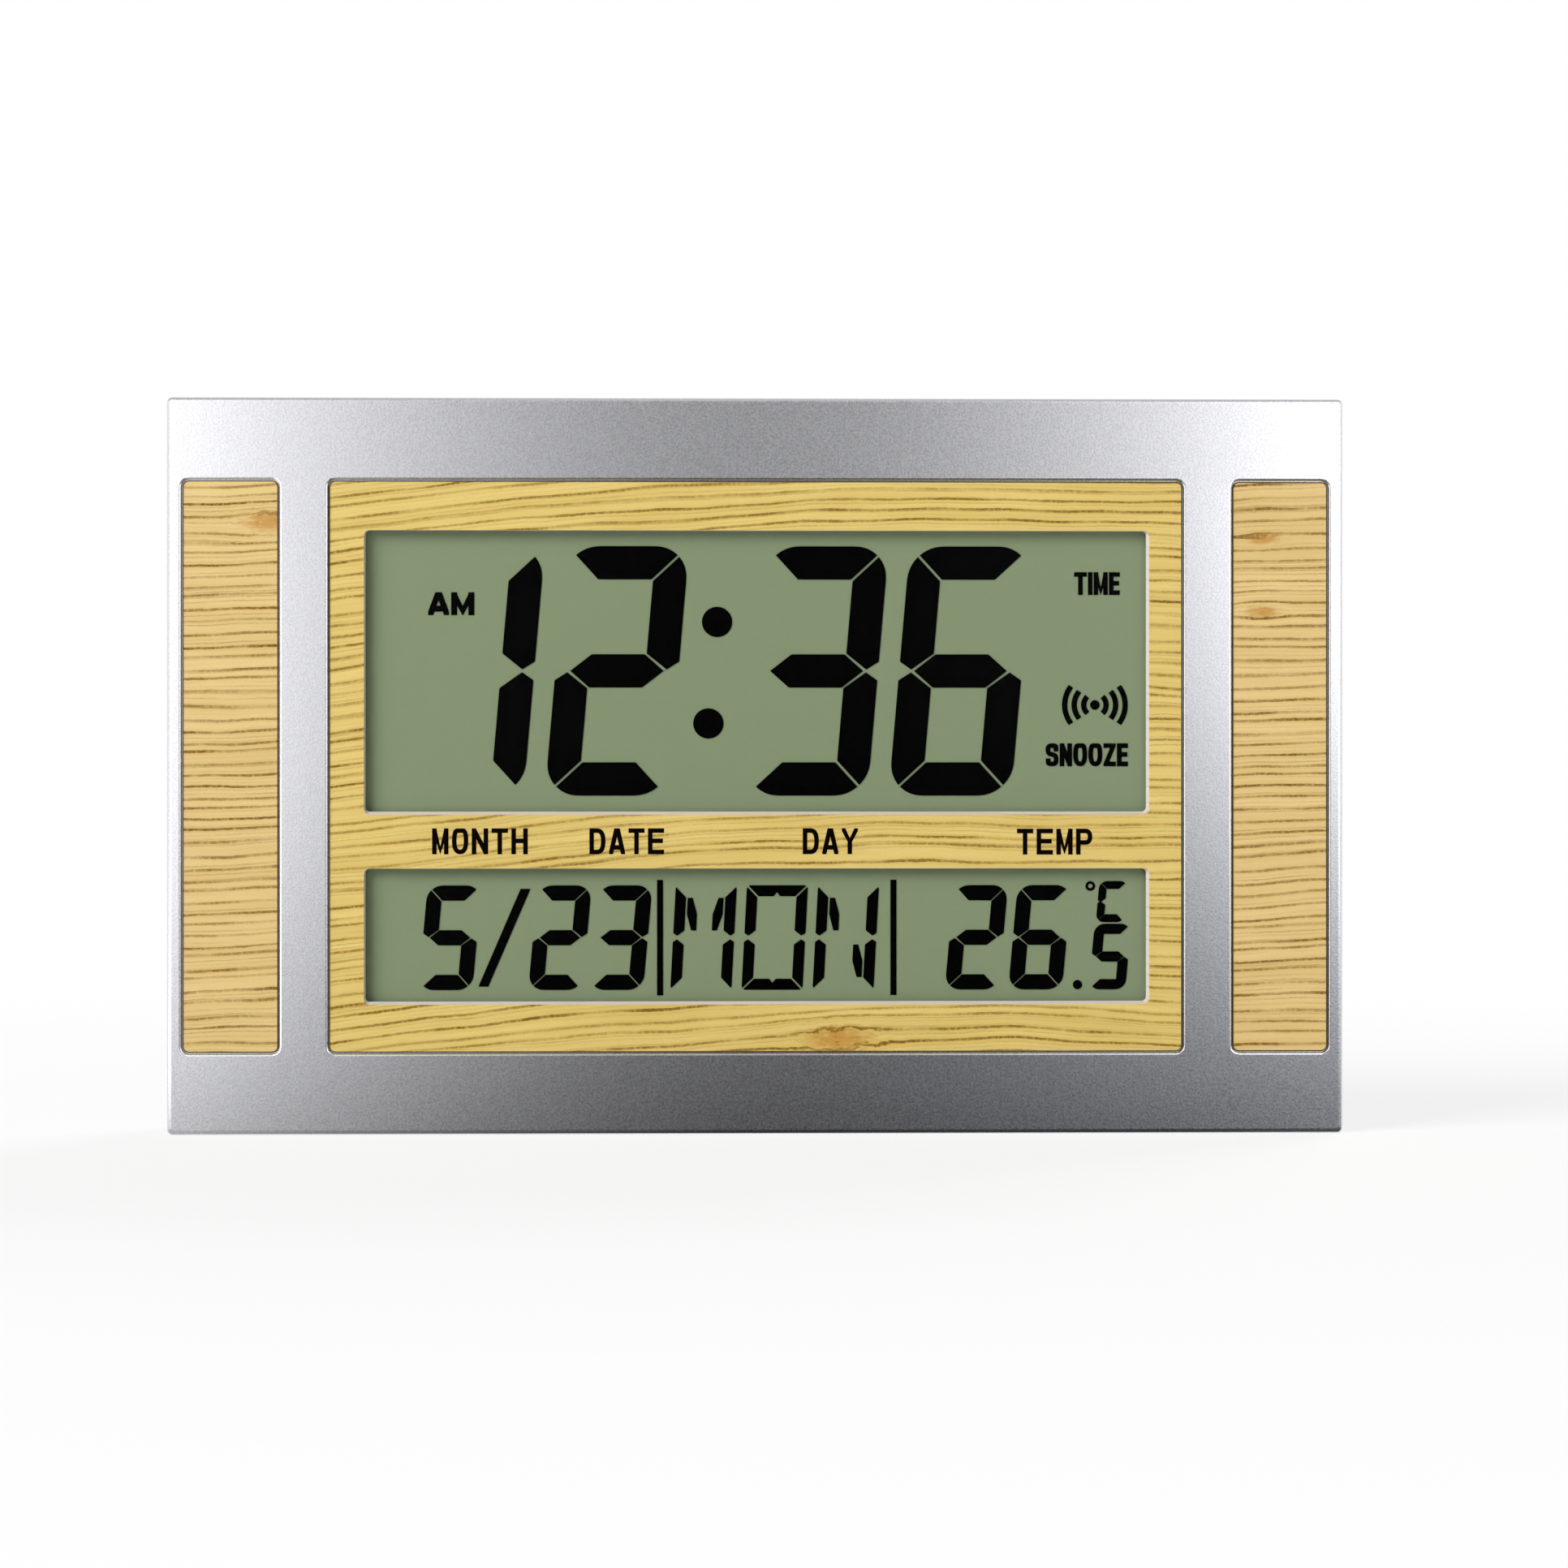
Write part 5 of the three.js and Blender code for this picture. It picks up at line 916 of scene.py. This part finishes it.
# %% Geometry recipes
class Recipe:
    """A geometry node tree with named sizes."""

    def __init__(self, name, *sizes):
        self.tree = bpy.data.node_groups.new(name, "GeometryNodeTree")
        sockets = self.tree.interface
        kinds = {"Geometry": "Geometry", **dict.fromkeys(sizes, "Float"), "Finish": "Material"}
        for size, kind in kinds.items():
            sockets.new_socket(size, in_out="INPUT", socket_type=f"NodeSocket{kind}")
        self.keys = {item.name: item.identifier for item in sockets.items_tree}
        sockets.new_socket("Result", in_out="OUTPUT", socket_type="NodeSocketGeometry")
        given = self.tree.nodes.new("NodeGroupInput").outputs
        self.given = {name: Field(self.tree, given[name]) for name in self.keys}

    def node(self, kind, inputs, **settings):
        """Adds a node and returns its outputs by name."""
        return add_node(self.tree, f"GeometryNode{kind}", inputs, **settings)

    def vector(self, x, y, z):
        return vector_field(self.tree, x, y, z)

    def at_points(self, shape):
        """The shape at every point of the given mesh, turned by the point's own angles."""
        vectors = {"data_type": "FLOAT_VECTOR"}
        turn = self.node("InputNamedAttribute", {"Name": "turn"}, **vectors)["Attribute"]
        inputs = {"Points": self.given["Geometry"], "Instance": shape, "Rotation": turn}
        return self.node("InstanceOnPoints", inputs)["Instances"]

    def end(self, geometry):
        plain = self.node("RealizeInstances", {"Geometry": geometry})["Geometry"]
        inputs = {"Geometry": plain, "Material": self.given["Finish"]}
        plug(self.tree, self.tree.nodes.new("NodeGroupOutput").inputs[0],
             self.node("SetMaterial", inputs)["Geometry"])

    def make(self, mesh, finish, **sizes):
        """The result as a bmesh, from a start mesh and sizes in millimetres."""
        carrier = bpy.data.objects.new("carrier", mesh)
        bpy.context.collection.objects.link(carrier)
        modifier = carrier.modifiers.new("recipe", "NODES")
        modifier.node_group = self.tree
        for size, value in sizes.items():
            modifier[self.keys[size]] = value * MM
        modifier[self.keys["Finish"]] = finish.material
        graph = bpy.context.evaluated_depsgraph_get()
        made = bpy.data.meshes.new_from_object(carrier.evaluated_get(graph), depsgraph=graph)
        bpy.data.objects.remove(carrier)
        result = bmesh.new()
        result.from_mesh(made)
        return result


def turned_points(name, places, turns):
    """A mesh of loose points that carry turning angles."""
    data = bpy.data.meshes.new(name)
    data.from_pydata(places, [], [])
    angles = data.attributes.new("turn", "FLOAT_VECTOR", "POINT")
    angles.data.foreach_set("vector", [angle for turn in turns for angle in turn])
    return data


print("recipe helpers ready")

# %% [markdown]
# ## Screws
# Self-tapping screws with a low round head and a cross recess hold the case, the display holder and
# the boards. The shank is a cylinder with a pointed end. Its top face is widened, raised and drawn
# in to make the head, and two crossed bars are cut out of it.

# %% Screws
HEAD_SIDE = 0.6
HEAD_CROWN = 0.8
RECESS_LENGTH = 1.15
RECESS_WIDTH = 0.3
RECESS_DEPTH = 0.65
TIP_SHARE = 0.35
SHANK_SIDES = 28
SCREW_SIZES = ("head_radius", "head_height", "shank_radius", "shank_length")

screw = Recipe("cross_screws", *SCREW_SIZES)
head_radius, head_height, shank_radius, shank_length = (screw.given[size] for size in SCREW_SIZES)


def grow(faces, mesh, rise, scale):
    """Extrudes faces by rise and scales them."""
    inputs = {"Mesh": mesh, "Selection": faces, "Offset Scale": rise, "Individual": False}
    grown = screw.node("ExtrudeMesh", inputs)
    inputs = {"Geometry": grown["Mesh"], "Selection": grown["Top"], "Scale": scale}
    return grown["Top"], screw.node("ScaleElements", inputs, domain="FACE")["Geometry"]


inputs = {"Vertices": SHANK_SIDES, "Radius": shank_radius, "Depth": shank_length}
bar = screw.node("MeshCylinder", inputs)
down = screw.vector(0.0, 0.0, (head_height + shank_length * 0.5) * -1)
moved = screw.node("Transform", {"Geometry": bar["Mesh"], "Translation": down})
_, pointed = grow(bar["Bottom"], moved["Geometry"], shank_radius, TIP_SHARE)
rim, widened = grow(bar["Top"], pointed, 0.0, head_radius / shank_radius)
side, raised = grow(rim, widened, head_height * HEAD_SIDE, 1.0)
_, crowned = grow(side, raised, head_height * (1 - HEAD_SIDE), HEAD_CROWN)
long, wide = head_radius * RECESS_LENGTH, head_radius * RECESS_WIDTH
deep = head_height * (2 * RECESS_DEPTH)
cross = screw.node("MeshBoolean", {"Mesh 1": crowned}, operation="DIFFERENCE")
cutters = [screw.node("MeshCube", {"Size": screw.vector(*size)})["Mesh"]
           for size in ((long, wide, deep), (wide, long, deep))]
cut_node = cross["Mesh"].socket.node
for cutter in cutters:
    screw.tree.links.new(cutter.socket, cut_node.inputs["Mesh 2"])
screw.end(screw.at_points(cross["Mesh"]))
print("screw recipe:", len(screw.tree.nodes), "nodes")

# %% [markdown]
# ## Screws in place
# All screws of one kind are one piece. Each stands in the box of its solid with its head to the
# back, and each is turned a little further than the last, as screws are after they are driven in.

# %% Screws in place
SPIN_STEP = 2.4
LARGE = {"head_radius": 2.9, "head_height": 2.2, "shank_radius": 1.3}
SMALL = {"head_radius": 2.1, "head_height": 1.4, "shank_radius": 0.95}
SCREW_GROUPS = [
    ("case_screw", 6, LARGE),
    ("holder_screw", 4, SMALL),
    ("board_screw", 4, SMALL),
    ("key_board_screw", 2, SMALL),
]
for group, count, sizes in SCREW_GROUPS:
    names = [f"{group}_{number}" for number in range(1, count + 1)]
    boxes = [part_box(name) for name in names]
    places = [((low.x + high.x) / 2, high.y, (low.z + high.z) / 2) for low, high in boxes]
    turns = [(-math.pi / 2, SPIN_STEP * number, 0) for number in range(count)]
    low, high = boxes[0]
    length = (high.y - low.y) / MM - sizes["head_height"] - sizes["shank_radius"]
    points = turned_points(group, places, turns)
    mesh = screw.make(points, plated, shank_length=length, **sizes)
    print(group, "faces:", len(mesh.faces))
    add_piece(f"{group}s", mesh, plated, "plated_steel", *names)

# %% [markdown]
# ## Contact springs
# Each cell is pressed by a cone-shaped spring on its flat end. A spiral curve gives the path of the
# wire, with its wide turn on the contact plate, and a small circle swept along it gives the wire.

# %% Contact springs
WIRE_RADIUS = 0.4
SPRING_TURNS = 3.25
SPRING_SIZES = {"wide_radius": 5.0, "narrow_radius": 3.4, "length": 3.4, "wire_radius": WIRE_RADIUS}
WIRE_SIDES = 12
SPRING_STEPS = 40
CELLS = (("lower", 1), ("upper", -1))

spring = Recipe("contact_springs", *SPRING_SIZES)
given = spring.given
inputs = {"Resolution": SPRING_STEPS, "Rotations": SPRING_TURNS, "Height": given["length"],
          "Start Radius": given["wide_radius"], "End Radius": given["narrow_radius"]}
path = spring.node("CurveSpiral", inputs)["Curve"]
inputs = {"Resolution": WIRE_SIDES, "Radius": given["wire_radius"]}
section = spring.node("CurvePrimitiveCircle", inputs)["Curve"]
inputs = {"Curve": path, "Profile Curve": section, "Fill Caps": True}
spring.end(spring.at_points(spring.node("CurveToMesh", inputs)["Mesh"]))

names, places, turns = [], [], []
for level, way in CELLS:
    names.append(f"battery_spring_{level}")
    low, high, _ = box_mm(names[-1])
    _, _, middle = box_mm(f"battery_{level}")
    plate = low.x if way > 0 else high.x
    places.append(Vector((plate + way * WIRE_RADIUS, middle.y, middle.z)) * MM)
    turns.append((0, way * math.pi / 2, 0))
mesh = spring.make(turned_points("spring_points", places, turns), plated, **SPRING_SIZES)
print("spring faces:", len(mesh.faces))
add_piece("contact_springs", mesh, plated, "plated_steel", *names)

# %% [markdown]
# ## Battery door
# The door is pulled open at its lower edge, where a thumb needs grip. There is no room for ribs
# that stand proud of the back, so grooves are cut: a row of round bars along a line is taken out of
# the door.

# %% Battery door
GROOVE_COUNT = 5
GROOVE_PITCH = 2.1
GROOVE_RADIUS = 0.8
GROOVE_LENGTH = 22
GROOVE_RISE = 3.8
GROOVE_LIFT = 0.25
ROD_SIDES = 24

grooves = Recipe("grip_grooves", "x", "y", "z", "pitch", "radius", "length")
given = grooves.given
start = grooves.vector(given["x"], given["y"], given["z"])
step = grooves.vector(0.0, 0.0, given["pitch"])
inputs = {"Count": GROOVE_COUNT, "Start Location": start, "Offset": step}
row = grooves.node("MeshLine", inputs)["Mesh"]
inputs = {"Vertices": ROD_SIDES, "Radius": given["radius"], "Depth": given["length"]}
rod = grooves.node("MeshCylinder", inputs)["Mesh"]
lying = grooves.node("Transform", {"Geometry": rod, "Rotation": (0, math.pi / 2, 0)})["Geometry"]
rods = grooves.node("InstanceOnPoints", {"Points": row, "Instance": lying})["Instances"]
rods = grooves.node("RealizeInstances", {"Geometry": rods})["Geometry"]
inputs = {"Mesh 1": given["Geometry"], "Mesh 2": rods}
grooves.end(grooves.node("MeshBoolean", inputs, operation="DIFFERENCE")["Mesh"])

door_low, door_high, door_middle = box_mm("battery_door")
plain = merged_copy("battery_door")
join_flat_faces(plain)
door_mesh = bpy.data.meshes.new("plain_door")
plain.to_mesh(door_mesh)
plain.free()
mesh = grooves.make(
    door_mesh, back_grey, x=door_middle.x, y=door_high.y + GROOVE_LIFT, z=door_low.z + GROOVE_RISE,
    pitch=GROOVE_PITCH, radius=GROOVE_RADIUS, length=GROOVE_LENGTH,
)
print("door faces:", len(mesh.faces))
flatten_shading(add_piece("battery_door_dressed", mesh, back_grey, "back_plastic", "battery_door"))

# %% [markdown]
# ## Cells
# Two plain AA cells lie behind the door: a steel can with a button at one end, in a printed sleeve.
# Both are turned shapes, so a profile is spun about the x axis. The sleeve's print is worked out
# from the distance to the flat end: a minus sign near it, and a pale band with a plus sign near the
# button.

# %% Cells
TURN_SIDES = 48
CAN_PROFILE = [
    (0.25, 0), (0.25, 5.6), (0, 6.1), (0, 6.5), (0.4, 6.92), (48.8, 6.92), (49.2, 6.5), (49.2, 4.4),
    (48.95, 4.1), (48.95, 3.1), (49.1, 2.8), (50.1, 2.72), (50.45, 2.4), (50.5, 0),
]
SLEEVE_PROFILE = [
    (0.3, 6.94), (0.3, 7.1), (0.55, 7.24), (48.65, 7.24), (48.9, 7.1), (48.9, 6.94), (0.3, 6.94),
]
SLEEVE_BLUE = colour(52, 78, 124)
BAND_GREY = colour(206, 208, 210)
BAND_START = 39.4
PLUS_PLACE = 44.0
MINUS_PLACE = 5.0
SIGN_HALF = 1.6
STROKE_HALF = 0.35


def turned(profile, start, way):
    """A solid turned about a line along x from a start point, in millimetres."""
    mesh = bmesh.new()
    rings = []
    for along, radius in profile:
        x = start.x + way * along
        angles = [2 * math.pi * side / TURN_SIDES for side in range(TURN_SIDES if radius else 1)]
        ring = [(x, start.y + radius * math.cos(a), start.z + radius * math.sin(a)) for a in angles]
        rings.append([mesh.verts.new(Vector(point) * MM) for point in ring])
    for first, second in zip(rings, rings[1:]):
        for side in range(TURN_SIDES):
            after = (side + 1) % TURN_SIDES
            corners = [first[side % len(first)], first[after % len(first)],
                       second[after % len(second)], second[side % len(second)]]
            mesh.faces.new(list(dict.fromkeys(corners)))
    bmesh.ops.remove_doubles(mesh, verts=mesh.verts, dist=MERGE_REACH)
    bmesh.ops.recalc_face_normals(mesh, faces=mesh.faces)
    return mesh


def cell_print(name, start, way):
    """A sleeve finish whose places are counted from the flat end of the cell."""
    sleeve = Finish(name, SLEEVE_BLUE, roughness=0.35)
    along = (sleeve.x - start.x) * way
    beside = (sleeve.z - start.z).math("ABSOLUTE")
    outward = (sleeve.y - start.y).step(0, SOFT_EDGE)

    def bar(middle, half_long, half_high):
        long = (along - middle).math("ABSOLUTE").step(half_long, half_long + SOFT_EDGE, 1, 0)
        return long * beside.step(half_high, half_high + SOFT_EDGE, 1, 0) * outward

    band = along.step(BAND_START, BAND_START + SOFT_EDGE)
    sheen = sleeve.noise(along / 9, beside / 2, 0).step(-0.3, 0.3)
    base = sleeve.blend(sheen, colour(46, 70, 114), colour(60, 88, 138))
    base = sleeve.blend(band, base, BAND_GREY)
    upright = bar(PLUS_PLACE, STROKE_HALF, SIGN_HALF)
    plus = bar(PLUS_PLACE, SIGN_HALF, STROKE_HALF).math("MAXIMUM", upright)
    base = sleeve.blend(plus, base, SLEEVE_BLUE)
    minus = bar(MINUS_PLACE, SIGN_HALF, STROKE_HALF)
    sleeve.use("Base Color", sleeve.blend(minus, base, BAND_GREY))
    sleeve.use("Roughness", sheen * 0.1 + 0.3)
    return sleeve


for level, way in CELLS:
    name = f"battery_{level}"
    low, high, middle = box_mm(name)
    start = Vector((low.x if way > 0 else high.x, middle.y, middle.z))
    add_piece(f"{name}_can", turned(CAN_PROFILE, start, way), plated, "cell_sleeve", name)
    sleeve = cell_print(f"{name}_print", start, way)
    add_piece(f"{name}_sleeve", turned(SLEEVE_PROFILE, start, way), sleeve, "cell_sleeve", name)
print("cells:", len(CELLS))

# %% [markdown]
# ## Words beside the keys
# The six keys on the back are named by small words printed in white on the floor of their trough.
# Seen from behind, left and right change places, so the words are laid out for a reader behind the
# clock and the whole print is then mirrored.

# %% Words beside the keys
KEY_WORD_HEIGHT = 2.1
KEY_WORD_WEIGHT = 0.3
KEY_LETTER_WIDTH = 1.4
KEY_LETTER_GAP = 0.3
KEY_WORD_RISE = 4.2
TROUGH_DEPTH = 1.5

shapes = []
for key in KEYS:
    low, high, _ = box_mm(f"{key}_button")
    middle = -(low.x + high.x) / 2
    base = (low.z + high.z) / 2 + KEY_WORD_RISE
    count = len(key)
    half = (count + KEY_LETTER_GAP * (count - 1)) * KEY_LETTER_WIDTH / 2
    style = (KEY_WORD_HEIGHT, KEY_WORD_WEIGHT, KEY_LETTER_GAP, {})
    shapes += word_letters(key.upper(), middle - half, middle + half, base, *style)
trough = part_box("back_cover")[1].y - TROUGH_DEPTH * MM
add_marks("key_words", shapes, trough, -PRINT_HEIGHT, holder_white, "white_plastic", mirrored=True)

# %% [markdown]
# ## Studio
# The clock stands on a pale floor in an even white room. A large lamp on the upper left makes the
# shadows of the sunk panels and windows. The white of the room is what the camera and the
# reflections see, dimmer overhead, and a lower level of it lights the surfaces.

# %% Room and lamps
ROOM_LIGHT = 0.22
CEILING = 0.62
CEILING_RISE = (0.35, 0.8)
LAMPS = [("key_lamp", (-2.7, -2.3, 2.25), 2.4, 178), ("back_lamp", (1.4, 2.2, 1.6), 1.6, 55)]


def seen_rays(tree):
    """One where a ray comes from the camera, a reflection or a clear plate, else zero."""
    rays = add_node(tree, "ShaderNodeLightPath", {})
    total = rays["Is Camera Ray"] + rays["Is Glossy Ray"] + rays["Is Transmission Ray"]
    return total.math("MINIMUM", 1.0)


world = bpy.data.worlds.new("studio")
world.use_nodes = True
world.cycles.sampling_method = "NONE"
bpy.context.scene.world = world
backdrop = world.node_tree.nodes["Background"]
backdrop.inputs["Color"].default_value = (1, 1, 1, 1)
direction = add_node(world.node_tree, "ShaderNodeTexCoord", {})["Generated"]
white = axes(direction)[2].step(*CEILING_RISE, 1, CEILING)
strength = seen_rays(world.node_tree) * (white - ROOM_LIGHT) + ROOM_LIGHT
plug(world.node_tree, backdrop.inputs["Strength"], strength)

for name, place, size, watts in LAMPS:
    lamp = bpy.data.objects.new(name, bpy.data.lights.new(name, "AREA"))
    lamp.data.size = size
    lamp.data.energy = watts
    lamp.location = place
    lamp.rotation_euler = (aim - Vector(place)).to_track_quat("-Z", "Y").to_euler()
    lamp.visible_glossy = False
    bpy.context.collection.objects.link(lamp)
print("lamps:", len(LAMPS))

# %% [markdown]
# ## Floor
# The floor is a wide white sheet. To the camera it glows, so it is as white as the room, and only
# round the clock does it keep a soft shadow.

# %% Floor
FLOOR_HALF = 4.0
FLOOR_SHADE = 0.25
SHADE_REACH = (130, 700)


def rectangle(half, low, high):
    """Four corners that reach half to each side and from low to high."""
    return [(-half, low), (half, low), (half, high), (-half, high)]


def stage_sheet(name, corners, material):
    data = bpy.data.meshes.new(name)
    data.from_pydata(corners, [], [(0, 1, 2, 3)])
    data.materials.append(material)
    sheet = bpy.data.objects.new(name, data)
    bpy.context.collection.objects.link(sheet)
    return sheet


floor = Finish("floor", colour(240, 240, 240), roughness=0.9, specular=0.1)
glow = floor.tree.nodes.new("ShaderNodeEmission")
mix = floor.tree.nodes.new("ShaderNodeMixShader")
away = (floor.x * floor.x + floor.y * floor.y).math("SQRT")
shown = seen_rays(floor.tree) * away.step(*SHADE_REACH, 1 - FLOOR_SHADE, 1)
plug(floor.tree, mix.inputs["Fac"], shown)
floor.tree.links.new(floor.surface.outputs[0], mix.inputs[1])
floor.tree.links.new(glow.outputs[0], mix.inputs[2])
floor.tree.links.new(mix.outputs[0], floor.tree.nodes["Material Output"].inputs["Surface"])
corners = [(x, y, 0) for x, y in rectangle(FLOOR_HALF, -FLOOR_HALF, FLOOR_HALF)]
stage_sheet("floor", corners, floor.material)
print("floor nodes:", len(floor.tree.nodes))

# %% [markdown]
# ## Card
# In front of the clock stands a card that only reflections see: photographers use one to shade
# metal. Its light is written for the place on the clock's face that mirrors it: a valley across the
# face, dark in the middle, times a fall from the bright top to the dark foot. That gradient is what
# the silver paint shows.

# %% Card
CARD_DISTANCE = 0.336
CARD_HALF = 0.45
CARD_TOP = 0.60
CARD_LIFT = 0.00015
UNDER_EDGE = 0.0005
PAINT_SHARE = 0.85
VALLEY_LOW = 0.175
VALLEY_SLOPE = 0.00115
VALLEY_BEND = 0.0000465
VALLEY_TOP = 2.2
RIGHT_RISE = 0.0000059
RIGHT_END = 105
END_RISE = 0.0056
FALL_LEVEL = 0.173
FALL_SLOPE = 0.0059
FALL_BEND = 0.0000263
FALL_LOW = 0.05
FALL_TILT = 0.266
RIGHT_FALL = 0.000018
COOL = (0.93, 1.0, 1.07, 1)
COOL_ACROSS = (0, 70)
COOL_DOWN = (80, 10)

card = Finish("card", colour(0, 0, 0), roughness=1, specular=0)
reach = (card.y * -1 + FRONT / MM) / (VIEW_DISTANCE / MM)
face_x = (card.x - reach * (math.sin(VIEW_TURN) * VIEW_DISTANCE / MM)) / (reach + 1)
face_z = (card.z + reach * (aim.z / MM)) / (reach + 1)
to_right = face_x.math("MAXIMUM", 0)
at_end = (face_x - RIGHT_END).math("MAXIMUM", 0)
valley = face_x.math("ABSOLUTE") * VALLEY_SLOPE + face_x * face_x * VALLEY_BEND + VALLEY_LOW
valley = valley.math("MINIMUM", VALLEY_TOP) + to_right * to_right * RIGHT_RISE + at_end * END_RISE
drop = face_z - face_x * FALL_TILT
fall = drop * drop * FALL_BEND + drop * FALL_SLOPE + to_right * face_z * RIGHT_FALL + FALL_LEVEL
fall = fall.math("MAXIMUM", FALL_LOW).math("MINIMUM", 1.0)
card.use("Emission Strength", valley * fall / PAINT_SHARE)
cool = face_x.step(*COOL_ACROSS) * face_z.step(*COOL_DOWN)
card.use("Emission Color", card.blend(cool, (1, 1, 1, 1), COOL))
near, far = FRONT + UNDER_EDGE, FRONT - CARD_DISTANCE
lying = [(x, y, CARD_LIFT) for x, y in rectangle(CARD_HALF, near, far)]
standing = [(x, far, z) for x, z in rectangle(CARD_HALF, CARD_LIFT, CARD_TOP)]
for name, corners in (("floor_card", lying), ("front_card", standing)):
    sheet = stage_sheet(name, corners, card.material)
    for ray in ("camera", "diffuse", "transmission", "volume_scatter", "shadow"):
        setattr(sheet, f"visible_{ray}", False)
print("card nodes:", len(card.tree.nodes))
